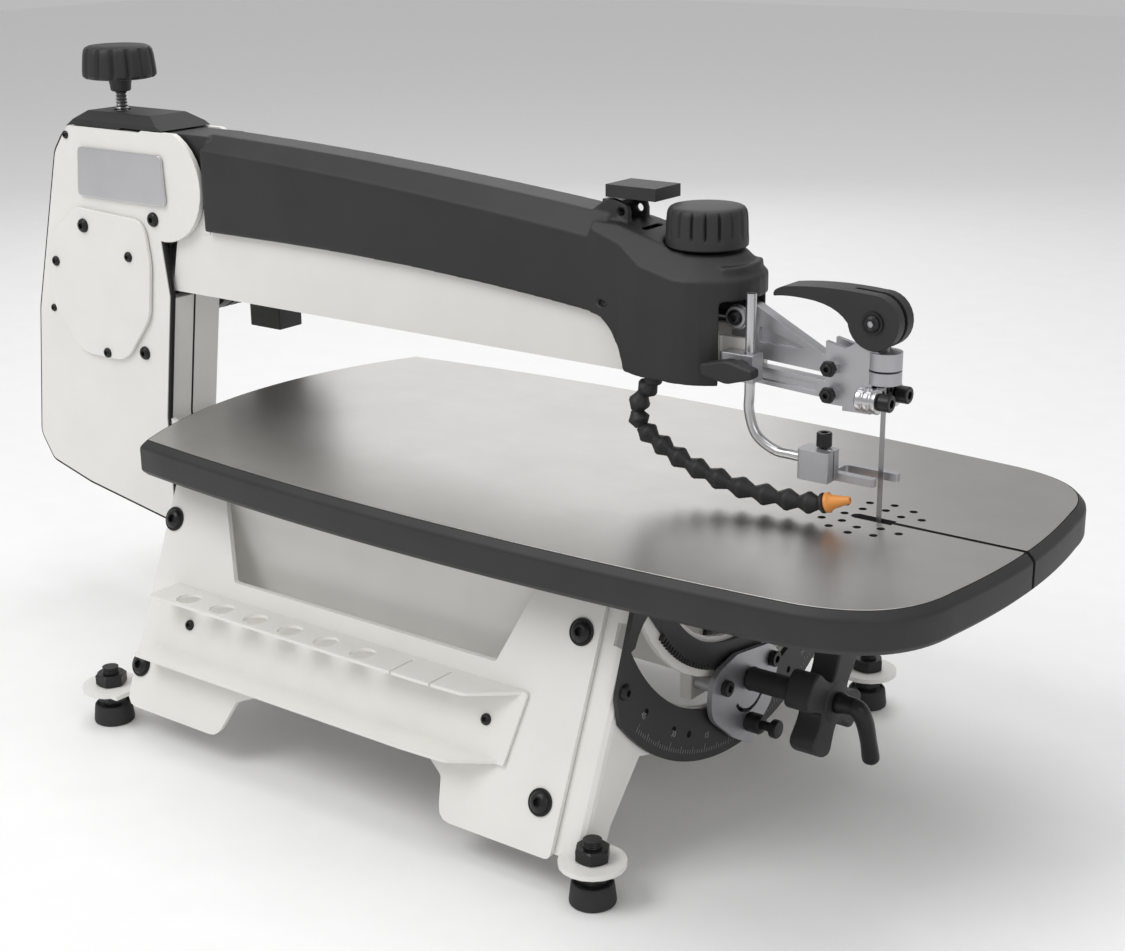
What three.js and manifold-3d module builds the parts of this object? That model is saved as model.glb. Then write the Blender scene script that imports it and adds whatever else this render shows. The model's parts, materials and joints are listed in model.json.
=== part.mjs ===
// Parallel-link scroll saw on its own stand. Millimetres, +Z up, +X towards the operator.
// The saw is laid out from its blade line (x = 0, y = 0), and the whole machine is then shifted
// so that the origin lies at the middle of its footprint on the bench.
import * as THREE from 'three';
import { mergeVertices } from 'three/addons/utils/BufferGeometryUtils.js';
import Module from 'manifold-3d';

const wasm = await Module();
wasm.setup();

// ---------------------------------------------------------------- driving dimensions
const GAP = 0.3;              // clearance kept between touching parts
const FLATNESS = 0.01;        // height below which a ripple in a flat face is left out
const BLADE_X = 309.4;         // blade line, ahead of the middle of the footprint
const TABLE_Z = 195.1;        // top of the table, and height of the tilt axis
const TABLE_REAR = -489;      // rear edge of the steel top
const TABLE_FRONT = 87.7;     // front edge of the steel top
const TABLE_THICK = 4;
const RIM_WIDTH = 5;          // black edge outside the steel top
const RIM_BOTTOM = 171;
const SPLAY = THREE.MathUtils.degToRad(22.5);
const SPLAY_Z = 153.9;        // height at which a side plate stands SPLAY_Y from the middle
const SPLAY_Y = 111.1;
const SHEET = 3;              // sheet-metal thickness
const STAND_FRONT = -91;      // front face of the front frame
const STAND_REAR = -466;      // rear face of the rear frame
const PLATE_FRONT = -108;     // front edge of a side plate
const PLATE_REAR = -460;
const STAND_TOP = 166;
const LEG_BOTTOM = 21;
const FOOT_Y = 158;
const FRONT_FOOT_X = -84;
const REAR_FOOT_X = -484;
const LUG_TOP = 26.3;
const LUG_RADIUS = 19.3;
const PAD_RADIUS = 13.1;
const SECTOR_RADIUS = 106.2;  // pitch radius of the tilt rack about the tilt axis
const SECTOR_TEETH = 190;     // teeth that a full circle of the rack would have
const PINION_TEETH = 20;
const PINION_Z = TABLE_Z - 117.4;
const SLOT_INNER = 112;
const SLOT_OUTER = 130.5;
const SLOT_HALF_ANGLE = THREE.MathUtils.degToRad(62);
const SCALE_RADIUS = 162.3;
const ARM_PIVOT = [-552, 337];
const ARM_BOTTOM = 261.5;
const LOBE_RADIUS = 40;
const LOBE_TOP = 373.4;
const CASE_HALF = 24;         // half the width of the rear column
const KNOB_X = -614;          // rear tension knob
const HEAD_X = -116;          // speed dial and middle of the head
const HEAD_RADIUS = 35.5;
const HEAD_BOTTOM = 264;
const HEAD_TOP = 336;
const CRANK = [-88, 284];     // main pivot of the upper bell crank
const LINK = [-88, 269];      // pivot of the parallel link below it
const HOLDER_TOP = [-28, 281];
const HOLDER_LOW = [-28, 266];
const LOWER_CRANK = [-112, 138];
const LOWER_LINK = [-112, 153];
const LOWER_HOLDER_LOW = [-28, 141];
const LOWER_HOLDER_TOP = [-28, 156];
const PUSH_TOP_Z = 302;
const PUSH_LOW_Z = 104;
const PUSH_Y = -7.2;
const ROCKER = [-582, 217.8];
const CAM = [-4, 309];
const CAM_RADIUS = 15.5;
const MOTOR = [-582, 280];
const MOTOR_RADIUS = 46;
const CRANK_THROW = 2.2;

// ---------------------------------------------------------------- geometry helpers
function solidOf(geometry) {
  const bare = geometry.index ? geometry.toNonIndexed() : geometry.clone();
  bare.deleteAttribute('normal');
  bare.deleteAttribute('uv');
  const merged = mergeVertices(bare, 1e-3);
  const at = merged.attributes.position.array;
  const index = merged.index.array;
  const kept = [];
  let volume = 0;
  for (let i = 0; i < index.length; i += 3) {
    const [a, b, c] = [index[i], index[i + 1], index[i + 2]];
    if (a === b || b === c || a === c) continue;
    kept.push(a, b, c);
    volume += signedVolume(at, a, b, c);
  }
  if (volume < 0) kept.reverse();
  return new wasm.Manifold(new wasm.Mesh({
    numProp: 3,
    vertProperties: Float32Array.from(at),
    triVerts: Uint32Array.from(kept),
  }));
}

function signedVolume(at, a, b, c) {
  const [p, q, r] = [a, b, c].map((i) => new THREE.Vector3(at[3 * i], at[3 * i + 1], at[3 * i + 2]));
  return p.dot(q.cross(r)) / 6;
}

function geometryOf(solid) {
  const mesh = solid.getMesh();
  const geometry = new THREE.BufferGeometry();
  geometry.setAttribute('position', new THREE.BufferAttribute(Float32Array.from(mesh.vertProperties), 3));
  geometry.setIndex(Array.from(mesh.triVerts));
  return geometry;
}

function union(...solids) {
  return solids.flat().reduce((all, one) => all.add(one));
}

function cut(solid, ...tools) {
  return tools.flat().reduce((left, tool) => left.subtract(tool), solid);
}

// Corner points are [a, b] or [a, b, radius]; a radius rounds that corner.
function outline(corners) {
  const shape = new THREE.Shape();
  const count = corners.length;
  corners.forEach((corner, i) => {
    const here = new THREE.Vector2(corner[0], corner[1]);
    const before = new THREE.Vector2(...corners[(i + count - 1) % count].slice(0, 2));
    const after = new THREE.Vector2(...corners[(i + 1) % count].slice(0, 2));
    const inward = before.sub(here).normalize();
    const outward = after.sub(here).normalize();
    const radius = corner[2] ?? 0;
    const half = inward.angleTo(outward) / 2;
    const reach = radius / Math.tan(half);
    const start = here.clone().addScaledVector(inward, reach);
    const end = here.clone().addScaledVector(outward, reach);
    if (i === 0) shape.moveTo(start.x, start.y);
    else shape.lineTo(start.x, start.y);
    if (radius > 0) shape.quadraticCurveTo(here.x, here.y, end.x, end.y);
  });
  shape.closePath();
  return shape;
}

function arc(centre, radius, from, to, steps) {
  return Array.from({ length: steps + 1 }, (_, i) => {
    const angle = from + ((to - from) * i) / steps;
    return [centre[0] + radius * Math.cos(angle), centre[1] + radius * Math.sin(angle)];
  });
}

function extruded(shape, depth, curveSegments) {
  return new THREE.ExtrudeGeometry(shape, { depth, bevelEnabled: false, curveSegments, steps: 1 });
}

// Outline in x and z, from y0 to y1.
function sideSlab(shape, y0, y1, curveSegments = 3) {
  return solidOf(extruded(shape, y1 - y0, curveSegments).rotateX(Math.PI / 2).translate(0, y1, 0));
}

// Outline in y and z, from x0 to x1.
function frontSlab(shape, x0, x1, curveSegments = 3) {
  const turn = new THREE.Matrix4().makeBasis(
    new THREE.Vector3(0, 1, 0), new THREE.Vector3(0, 0, 1), new THREE.Vector3(1, 0, 0));
  return solidOf(extruded(shape, x1 - x0, curveSegments).applyMatrix4(turn).translate(x0, 0, 0));
}

// Outline in x and y, from z0 to z1.
function topSlab(shape, z0, z1, curveSegments = 3) {
  return solidOf(extruded(shape, z1 - z0, curveSegments).translate(0, 0, z0));
}

function block(x0, x1, y0, y1, z0, z1) {
  const box = new THREE.BoxGeometry(x1 - x0, y1 - y0, z1 - z0);
  return solidOf(box.translate((x0 + x1) / 2, (y0 + y1) / 2, (z0 + z1) / 2));
}

function rod(from, to, radius, sides = 16, endRadius = radius) {
  const start = new THREE.Vector3(...from);
  const along = new THREE.Vector3(...to).sub(start);
  const round = new THREE.CylinderGeometry(endRadius, radius, along.length(), sides);
  const turn = new THREE.Quaternion().setFromUnitVectors(new THREE.Vector3(0, 1, 0), along.clone().normalize());
  return solidOf(round.translate(0, along.length() / 2, 0).applyQuaternion(turn).translate(...start));
}

const pinAcross = (x, z, y0, y1, radius, sides) => rod([x, y0, z], [x, y1, z], radius, sides);
const rodAlong = (y, z, x0, x1, radius, sides) => rod([x0, y, z], [x1, y, z], radius, sides);
const post = (x, y, z0, z1, radius, sides) => rod([x, y, z0], [x, y, z1], radius, sides);

// Profile points are [radius, height] from the axis round to the axis again, turned about Z.
function turned(profile, x, y, sides) {
  const points = profile.map(([radius, height]) => new THREE.Vector2(radius, height));
  return solidOf(new THREE.LatheGeometry(points, sides).rotateX(Math.PI / 2).translate(x, y, 0));
}

// Rings of equal point count, joined one to the next and closed at both ends.
function skinned(rings) {
  const count = rings[0].length;
  const places = rings.flat(2);
  const index = [];
  for (let ring = 0; ring < rings.length - 1; ring += 1) {
    for (let i = 0; i < count; i += 1) {
      const next = (i + 1) % count;
      const [a, b] = [ring * count + i, ring * count + next];
      index.push(a, b, a + count, b, b + count, a + count);
    }
  }
  const flat = flatten(rings[0]);
  const last = (rings.length - 1) * count;
  for (const [a, b, c] of THREE.ShapeUtils.triangulateShape(flat.points, [])) {
    const [p, q, r] = flat.forward ? [a, b, c] : [c, b, a];
    index.push(r, q, p);
    index.push(last + p, last + q, last + r);
  }
  const geometry = new THREE.BufferGeometry();
  geometry.setAttribute('position', new THREE.Float32BufferAttribute(places, 3));
  geometry.setIndex(index);
  return solidOf(geometry);
}

// Drops the coordinate that a ring does not use, so that its end can be triangulated.
function flatten(ring) {
  const spans = [0, 1, 2].map((k) => Math.max(...ring.map((p) => p[k])) - Math.min(...ring.map((p) => p[k])));
  const dropped = spans.indexOf(Math.min(...spans));
  const [u, v] = [0, 1, 2].filter((k) => k !== dropped);
  const points = ring.map((p) => new THREE.Vector2(p[u], p[v]));
  return { points, forward: !THREE.ShapeUtils.isClockWise(points) };
}

// Tube of a round section along a smooth curve through the given points.
function tube(points, radius, sides, steps) {
  const path = new THREE.CatmullRomCurve3(points.map((p) => new THREE.Vector3(...p)), false, 'centripetal');
  const section = new THREE.Shape(arc([0, 0], radius, 0, 2 * Math.PI * (1 - 1 / sides), sides - 1)
    .map((p) => new THREE.Vector2(...p)));
  return solidOf(new THREE.ExtrudeGeometry(section, { steps, extrudePath: path, bevelEnabled: false }));
}

// Knob of round lobes about the vertical axis at (x, y), with a fluted side and a domed top.
function flutedKnob(x, y, z0, z1, radius, flutes, sides) {
  const body = turned([[0, z0], [radius - 1, z0], [radius + 0.6, z0 + 3], [radius - 1.5, z1 - 3],
    [radius - 5, z1 - 0.6], [0, z1]], x, y, sides);
  const grooves = Array.from({ length: flutes }, (_, i) => {
    const angle = (2 * Math.PI * i) / flutes;
    const reach = radius + 0.6;
    return post(x + reach * Math.cos(angle), y + reach * Math.sin(angle), z0 + 2, z1 + 1, 1.7, 4);
  });
  return cut(body, grooves);
}

const meshes = new THREE.Group();
const finish = (color, roughness, metalness) => new THREE.MeshStandardMaterial({ color, roughness, metalness });
const white = () => finish(0xe9e7e1, 0.45, 0);
const black = () => finish(0x333333, 0.6, 0);
const iron = () => finish(0x222224, 0.5, 0.4);
const steel = () => finish(0x9a9894, 0.35, 0.9);
const casting = () => finish(0xa2a2a8, 0.45, 0.7);
const bright = () => finish(0xd0d0d2, 0.2, 1);

function add(name, solid, material) {
  const mesh = new THREE.Mesh(geometryOf(solid.asOriginal().simplify(FLATNESS)), material);
  mesh.name = name;
  meshes.add(mesh);
}

// ---------------------------------------------------------------- table
function tableEdge(outset) {
  const half = new THREE.Path();
  half.moveTo(TABLE_REAR, 0);
  half.quadraticCurveTo(TABLE_REAR, 67.9, -458.5, 131);
  half.quadraticCurveTo(-232, 160, 22, 135.5);
  half.quadraticCurveTo(77, 128, 81.5, 75);
  half.quadraticCurveTo(TABLE_FRONT, 36, TABLE_FRONT, 0);
  const right = half.getPoints(6).map((p) => [p.x, p.y]);
  const left = right.slice(1, -1).reverse().map(([x, y]) => [x, -y]);
  return grown([...right, ...left], outset);
}

// Moves each edge of a closed outline outwards by the same distance.
function grown(points, distance) {
  const count = points.length;
  return points.map((point, i) => {
    const here = new THREE.Vector2(...point);
    const before = new THREE.Vector2(...points[(i + count - 1) % count]);
    const after = new THREE.Vector2(...points[(i + 1) % count]);
    const first = here.clone().sub(before).normalize();
    const second = after.sub(here).normalize();
    const normal = new THREE.Vector2(-(first.y + second.y), first.x + second.x).normalize();
    const across = new THREE.Vector2(-first.y, first.x);
    const reach = distance / Math.max(normal.dot(across), 0.5);
    return [here.x + normal.x * reach, here.y + normal.y * reach];
  });
}

const level = (points, z) => points.map(([x, y]) => [x, y, z]);
const tableDisc = (outset, z0, z1) => skinned([level(tableEdge(outset), z0), level(tableEdge(outset), z1)]);

const SLOT_WIDTH = 3.2;
const dustHole = (x, y) => post(x, y, TABLE_Z - 8, TABLE_Z + 2, 2.3, 6);

function dustHoles() {
  const centre = -4.4;
  const inner = [45, 90, 135, 180, 225, 270, 315].map((turn) => [17.1, turn]);
  const outer = [30, 60, 90, 120, 150, 210, 240, 270, 300, 330].map((turn) => [27.7, turn]);
  return [...inner, ...outer].map(([radius, turn]) => {
    const angle = THREE.MathUtils.degToRad(turn);
    return dustHole(centre + radius * Math.cos(angle), radius * Math.sin(angle));
  });
}

function bladeSlot(z0, z1) {
  const wide = SLOT_WIDTH * 1.15;
  return union(
    block(0, TABLE_FRONT + 20, -SLOT_WIDTH / 2, SLOT_WIDTH / 2, z0, z1),
    block(-13, 9.3, -wide, wide, z0, z1),
    post(-13, 0, z0, z1, wide, 10));
}

function tableTop() {
  const plate = tableDisc(0, TABLE_Z - TABLE_THICK, TABLE_Z);
  const tiltRelief = block(-14, 10, -5.6, 5.6, TABLE_Z - TABLE_THICK - 1, TABLE_Z - 2.6);
  return cut(plate, bladeSlot(TABLE_Z - 8, TABLE_Z + 2), tiltRelief, dustHoles());
}

function tableRim() {
  const edge = tableEdge(RIM_WIDTH);
  const body = skinned([
    level(tableEdge(RIM_WIDTH - 1), RIM_BOTTOM),
    level(edge, RIM_BOTTOM + 1.5),
    level(edge, TABLE_Z - 5),
    level(tableEdge(0.6), TABLE_Z - 0.3)]);
  const seat = tableDisc(GAP, TABLE_Z - TABLE_THICK - GAP, TABLE_Z + 1);
  const hollow = tableDisc(-7, RIM_BOTTOM - 1, TABLE_Z - TABLE_THICK);
  const slit = block(TABLE_FRONT - 12, TABLE_FRONT + 12, -1.6, 1.6, RIM_BOTTOM - 1, TABLE_Z + 1);
  const barTop = TABLE_Z - TABLE_THICK - GAP;
  const bars = [[STAND_FRONT - 13, 140], [STAND_REAR + 2, 125]].map(([x, y]) => block(x, x + 11, -y, y, 184, barTop));
  const standoffs = [-1, 1].flatMap((side) => [
    block(STAND_FRONT - 13, STAND_FRONT - 2, side * 96 - 6, side * 96 + 6, STAND_TOP + GAP, 185),
    block(STAND_REAR + 2, STAND_REAR + 13, side * 96 - 6, side * 96 + 6, STAND_TOP + GAP, 185)]);
  return union(cut(body, seat, hollow, slit), bars, standoffs);
}

// ---------------------------------------------------------------- stand
const sideY = (z) => SPLAY_Y + Math.tan(SPLAY) * (SPLAY_Z - z);
const SHEET_Y = SHEET / Math.cos(SPLAY);

// Leans a solid drawn upright at SPLAY_Z so that it follows the right-hand side plate.
function leaned(solid) {
  const slope = -Math.tan(SPLAY);
  const lean = new THREE.Matrix4().set(
    1, 0, 0, 0,
    0, 1, slope, -slope * SPLAY_Z,
    0, 0, 1, 0,
    0, 0, 0, 1);
  return solidOf(geometryOf(solid).applyMatrix4(lean));
}

const mirrored = (solid) => solidOf(geometryOf(solid).applyMatrix4(new THREE.Matrix4().makeScale(1, -1, 1)));

function sidePlate() {
  const plate = outline([
    [PLATE_REAR, STAND_TOP, 3], [PLATE_REAR, LEG_BOTTOM, 9], [-374, LEG_BOTTOM, 10], [-364, 44],
    [-330, 58, 8], [-216, 58, 8], [-194, 44, 4], [-189, LEG_BOTTOM, 10], [PLATE_FRONT, LEG_BOTTOM, 4],
    [PLATE_FRONT, STAND_TOP, 3]]);
  const window = outline([[-413, 159, 3], [-388.5, 111, 2], [-173.5, 111, 2], [-155, 159, 3]]);
  const sheet = sideSlab(plate, SPLAY_Y - SHEET_Y, SPLAY_Y);
  return leaned(cut(sheet, sideSlab(window, SPLAY_Y - 10, SPLAY_Y + 10)));
}

function supportPanel() {
  return union(
    block(-418, -150, 101.6, 104.2, 92, 156),
    block(-418, -150, 92, 104.2, 153.4, 156));
}

function sectorCut(radius0, radius1, halfAngle, x0, x1, steps) {
  const centre = [0, TABLE_Z];
  const down = -Math.PI / 2;
  const middle = (radius0 + radius1) / 2;
  const end = (radius1 - radius0) / 2;
  const cap = (turn, from) => {
    const at = [centre[0] + middle * Math.cos(turn), centre[1] + middle * Math.sin(turn)];
    return arc(at, end, from, from + Math.PI, 6);
  };
  const points = [
    ...arc(centre, radius1, down - halfAngle, down + halfAngle, steps),
    ...cap(down + halfAngle, down + halfAngle).slice(1, -1),
    ...arc(centre, radius0, down + halfAngle, down - halfAngle, steps),
    ...cap(down - halfAngle, down - halfAngle - Math.PI).slice(1, -1)];
  return frontSlab(new THREE.Shape(points.map((p) => new THREE.Vector2(...p))), x0, x1);
}

const axisDisc = (radius, x0, x1, sides) => rodAlong(0, TABLE_Z, x0, x1, radius, sides);

// Side flange and rounded corner of an end frame, and its flat face towards the middle.
function frameSide(face, inner) {
  const out = Math.sign(face - inner);
  const flangeY = SPLAY_Y - SHEET_Y - GAP - 0.2;
  const corner = outline([
    [inner, flangeY], [face, flangeY, 7], [face, flangeY - 26], [face - out * 3.5, flangeY - 26],
    [face - out * 3.5, flangeY - 3.3, 4], [inner, flangeY - 3.3]]);
  return leaned(topSlab(corner, LEG_BOTTOM + 2, STAND_TOP));
}

function endFrame(face, inner, footX) {
  const [x0, x1] = face > inner ? [face - 3.5, face] : [face, face + 3.5];
  const side = frameSide(face, inner);
  const wide = (z) => sideY(z) - SHEET_Y - 6;
  const low = LEG_BOTTOM + 2;
  const rightHalf = [[wide(STAND_TOP), STAND_TOP], [wide(low), low], [wide(low) - 16, low], [103, 64.5], [72, 55]];
  const leftHalf = rightHalf.slice().reverse().map(([y, z]) => [-y, z]);
  const arch = arc([0, TABLE_Z], 156, THREE.MathUtils.degToRad(-62), THREE.MathUtils.degToRad(-118), 16);
  const faceShape = new THREE.Shape([...rightHalf, ...arch, ...leftHalf].map((p) => new THREE.Vector2(...p)));
  const lugs = [-1, 1].map((sign) => post(footX, sign * FOOT_Y, LUG_TOP - 3, LUG_TOP, LUG_RADIUS, 20));
  const holes = [-1, 1].map((sign) => post(footX, sign * FOOT_Y, LUG_TOP - 6, LUG_TOP + 3, 5.4, 12));
  const bridge = [-1, 1].map((sign) => block(
    Math.min(face - 2, footX), Math.max(face + 2, footX), sign * FOOT_Y - 13, sign * FOOT_Y + 2, LUG_TOP - 3, LUG_TOP));
  const frame = union(frontSlab(faceShape, x0, x1), side, mirrored(side), lugs, bridge);
  return cut(frame, holes);
}

function frontFrame() {
  const frame = endFrame(STAND_FRONT, -146, FRONT_FOOT_X);
  const slot = sectorCut(SLOT_INNER, SLOT_OUTER, SLOT_HALF_ANGLE, STAND_FRONT - 9, STAND_FRONT + 9, 16);
  const opening = axisDisc(88, STAND_FRONT - 9, STAND_FRONT + 9, 32);
  return cut(frame, slot, opening);
}

function rearFrame() {
  const frame = endFrame(STAND_REAR, -420, REAR_FOOT_X);
  const slot = sectorCut(125.5, 131.5, THREE.MathUtils.degToRad(58), STAND_REAR - 9, STAND_REAR + 9, 14);
  const opening = axisDisc(120, STAND_REAR - 9, STAND_REAR + 9, 32);
  const face = cut(frame, slot);
  const band = block(STAND_REAR - 1, STAND_REAR + 4, -200, 200, 0, 300);
  return cut(face, band.intersect(opening));
}

function rackOutline() {
  const pitch = (2 * Math.PI) / SECTOR_TEETH;
  const down = -Math.PI / 2;
  const teeth = 28;
  const profile = [[-0.32, -2.2], [-0.14, 1.1], [0.14, 1.1], [0.32, -2.2]];
  const points = [];
  for (let tooth = -teeth; tooth <= teeth; tooth += 1) {
    for (const [turn, height] of profile) {
      const angle = down + (tooth + turn + 0.5) * pitch;
      const radius = SECTOR_RADIUS + height;
      points.push([radius * Math.cos(angle), TABLE_Z + radius * Math.sin(angle)]);
    }
  }
  return points;
}

function trunnionPlate() {
  const [x0, x1] = [STAND_FRONT + GAP, STAND_FRONT + 3.5];
  const corner = Math.asin(126 / SCALE_RADIUS);
  const bottom = arc([0, TABLE_Z], SCALE_RADIUS, -Math.PI / 2 + corner, -Math.PI / 2 - corner, 26);
  const sideEdge = [[105, STAND_TOP], [111, STAND_TOP - 4], [129, 113], [129.5, 106]];
  const leftEdge = sideEdge.slice().reverse().map(([y, z]) => [-y, z]);
  const points = [...sideEdge, ...bottom, ...leftEdge].map((p) => new THREE.Vector2(...p));
  const plate = frontSlab(new THREE.Shape(points), x0, x1);
  const limit = THREE.MathUtils.degToRad(62);
  const rim = arc([0, TABLE_Z], SLOT_OUTER + 1, -Math.PI / 2 + limit, -Math.PI / 2 - limit, 22);
  const leftEnd = [[-104, 147], [-97, 150]];
  const rack = rackOutline();
  const rightEnd = [[97, 150], [104, 147]];
  const slot = frontSlab(new THREE.Shape([...rim, ...leftEnd, ...rack, ...rightEnd]
    .map((p) => new THREE.Vector2(...p))), x0 - 1, x1 + 1);
  const opening = axisDisc(91, x0 - 1, x1 + 1, 36);
  return cut(plate, slot, opening);
}

function toolTray() {
  const shelfHigh = 101;
  const shelfLow = 60.5;
  const plateY = SPLAY_Y + GAP;
  const back = leaned(sideSlab(outline([
    [-438, shelfHigh, 2], [-446, shelfLow], [-151, shelfLow], [-145, shelfHigh, 2]]), plateY, plateY + 2.2));
  const shelf = (z, depth, shift) => {
    const inner = sideY(z - 2) + GAP;
    return topSlab(outline([
      [-438 + shift, inner], [-438 + shift, inner + depth, 2], [-207 + shift, inner + depth, 30],
      [-175 + shift, inner + depth - 1.5, 10], [-147 + shift, inner]]), z - 2, z);
  };
  const upper = shelf(shelfHigh, 24, 0);
  const lower = shelf(shelfLow + 2, 20, -6);
  const holes = Array.from({ length: 6 }, (_, i) => post(-411 + 30.2 * i, 148, 95, 105, 8.3, 12));
  const slits = [-230, -200].map((x) => block(x, x + 1.4, 138, 160, 95, 105));
  return cut(union(back, upper, lower), holes, slits);
}

function levellingFoot(x, y) {
  return turned([[0, 0], [PAD_RADIUS - 1, 0], [PAD_RADIUS, 1.5], [PAD_RADIUS - 0.6, 9], [PAD_RADIUS - 3, 13],
    [5, 14], [4.9, 38], [0, 38]], x, y, 14);
}

// ---------------------------------------------------------------- rear column and lower arm
const CASE_OUTLINE = [
  [-648, 372, 10], [-664, 352, 20], [-698, 232, 40], [-712, 131, 12], [-700, 112, 8], [-658, 101, 20],
  [-575, 88], [-564, 87], [-564, 167], [-551, 258]];

function coverPlate() {
  const plate = sideSlab(outline([...CASE_OUTLINE, [-556, 297, 3], [-556, 372]]), -CASE_HALF, -CASE_HALF + 4, 5);
  return union(plate, lobeDisc(-CASE_HALF));
}

// Round cheek beside the arm pivot, cut level where the cap sits.
function lobeDisc(y) {
  const disc = pinAcross(...ARM_PIVOT, y, y + 4, LOBE_RADIUS, 36);
  return cut(disc, block(-620, -500, y - 1, y + 5, LOBE_TOP, 400));
}

// Walls of one half of the column, open where the arm enters at the front.
function caseWalls(y0, y1) {
  const body = sideSlab(outline([...CASE_OUTLINE, [-592, 258, 2], [-592, 372]]), y0, y1);
  const hollow = sideSlab(outline([
    [-644, 368, 8], [-658, 350, 18], [-693, 232, 38], [-707, 133, 8], [-697, 117, 6], [-658, 106, 18],
    [-575, 93], [-569, 92], [-569, 172], [-557, 252], [-580, 258], [-580, 368]]), y0 - 1, y1 + 1);
  const lowerMouth = block(-580, -540, -13, 3, 95, 113);
  const upperMouth = union(
    block(-600, -540, y0 - 1, y1 + 1, 256, 362),
    block(-592, -563, y0 - 1, y1 + 1, 248, 258));
  const screwHole = post(KNOB_X, 0, 360, 380, 5.2, 12);
  return cut(body, hollow, lowerMouth, upperMouth, screwHole);
}

function leftCase() {
  return caseWalls(-CASE_HALF + 4 + GAP, -0.8);
}

function rightCase() {
  const walls = caseWalls(0.8, CASE_HALF - 4);
  const wall = sideSlab(outline([...CASE_OUTLINE, [-556, 297, 3], [-556, 372]]), CASE_HALF - 4, CASE_HALF);
  const shaft = pinAcross(...MOTOR, CASE_HALF - 5, CASE_HALF + 1, 12, 16);
  const rockerPin = pinAcross(...ROCKER, -7, CASE_HALF - 3, 6, 14);
  const armPin = pinAcross(...ARM_PIVOT, -CASE_HALF + 4 + GAP, CASE_HALF - 3, 7, 14);
  return union(cut(union(walls, wall, lobeDisc(CASE_HALF - 4)), shaft), rockerPin, armPin);
}

function columnCap() {
  const long = [[-650, 371.5], [-632, 383], [-566, 383], [-548, 374.2], [-556, 373.8], [-590, 373.8],
    [-592, 372.6], [-645, 372.6]];
  const body = sideSlab(outline(long), -CASE_HALF + 1, CASE_HALF - 1);
  const bevel = [-1, 1].map((side) => {
    const y = side * CASE_HALF;
    const wedge = [[y, 390], [y, 376], [y - side * 9, 384.5], [y - side * 9, 390]];
    return frontSlab(outline(wedge), -660, -540);
  });
  return cut(body, bevel, post(KNOB_X, 0, 360, 390, 6.4, 16));
}

function gearCover() {
  const shape = outline([
    [-643, 314, 14], [-570, 310.5, 14], [-566, 280, 30], [-571, 240, 26], [-600, 204, 26], [-650, 204, 26],
    [-680, 240, 26], [-676, 290, 30]]);
  return sideSlab(shape, -CASE_HALF - 3.3, -CASE_HALF - GAP, 6);
}

function badgePlate() {
  return sideSlab(outline([[-635, 358, 4], [-547.5, 358, 4], [-546, 322.5, 4], [-639, 322.5, 4]]),
    -CASE_HALF - 2.8, -CASE_HALF - GAP);
}

function lowerArm() {
  const profile = outline([
    [-563.4, 166.5], [-548, 160, 8], [-528, 128, 16], [-104, 128, 2], [-104, 81, 4], [-520, 81, 40], [-563.4, 87.5]]);
  const body = sideSlab(profile, -22, 22);
  const inside = block(-590, -96, -18, 18, 86, 200);
  const boss = block(-112, -104, -30, 30, 68, 86);
  const rib = block(-112, -104, -17, 17, 70, 84);
  const crankPins = [LOWER_CRANK, LOWER_LINK].map(([x, z]) => pinAcross(x, z, -19, 19, 3, 12));
  const cheeks = [-1, 1].map((side) => block(-122, -104, side * 20 - 2, side * 20 + 2, 100, 160));
  return union(cut(body, inside), boss, rib, cheeks, crankPins);
}

function rearGuideShoe() {
  const centre = TABLE_Z - 128.5;
  const pins = [-1, 1].map((side) => rodAlong(side * 22, TABLE_Z - 128.5 * Math.cos(0.172),
    STAND_REAR - 5, STAND_REAR + 6, 2.4, 12));
  const plate = block(STAND_REAR - 8, STAND_REAR - 4, -28, 28, centre - 6, 81 - GAP);
  return union(plate, pins);
}

function motorBody() {
  const [x, z] = MOTOR;
  const body = pinAcross(x, z, CASE_HALF + 3, 128, MOTOR_RADIUS, 28);
  const flange = pinAcross(x, z, CASE_HALF + GAP, CASE_HALF + 5, MOTOR_RADIUS - 10, 28);
  const cap = pinAcross(x, z, 127, 134, MOTOR_RADIUS - 6, 28);
  const bore = pinAcross(x, z, CASE_HALF - 1, 110, 8, 14);
  return cut(union(body, flange, cap), bore);
}

function motorCrank() {
  const [x, z] = MOTOR;
  const shaft = pinAcross(x, z, 8, 100, 6.5, 16);
  const web = pinAcross(x, z, 4, 9, 11, 20);
  const pin = pinAcross(x, z + CRANK_THROW, -6, 6, 3, 12);
  return union(shaft, web, pin);
}

function powerInlet() {
  const [x, z] = MOTOR;
  const top = z - MOTOR_RADIUS - GAP;
  const body = block(x - 16, x + 16, 96, 120, top - 26, top);
  const socket = block(x - 12, x + 12, 100, 116, top - 30, top - 10);
  const pins = [-7, 0, 7].map((dx) => block(x + dx - 1, x + dx + 1, 106, 110, top - 22, top - 8));
  return union(cut(body, socket), pins);
}

function rearKnob() {
  const knob = flutedKnob(KNOB_X, 0, 405, 428.4, 25.6, 14, 28);
  const neck = post(KNOB_X, 0, 396, 406, 7, 16);
  const screw = post(KNOB_X, 0, 330, 397, 4.4, 12);
  return union(knob, neck, screw);
}

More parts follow.
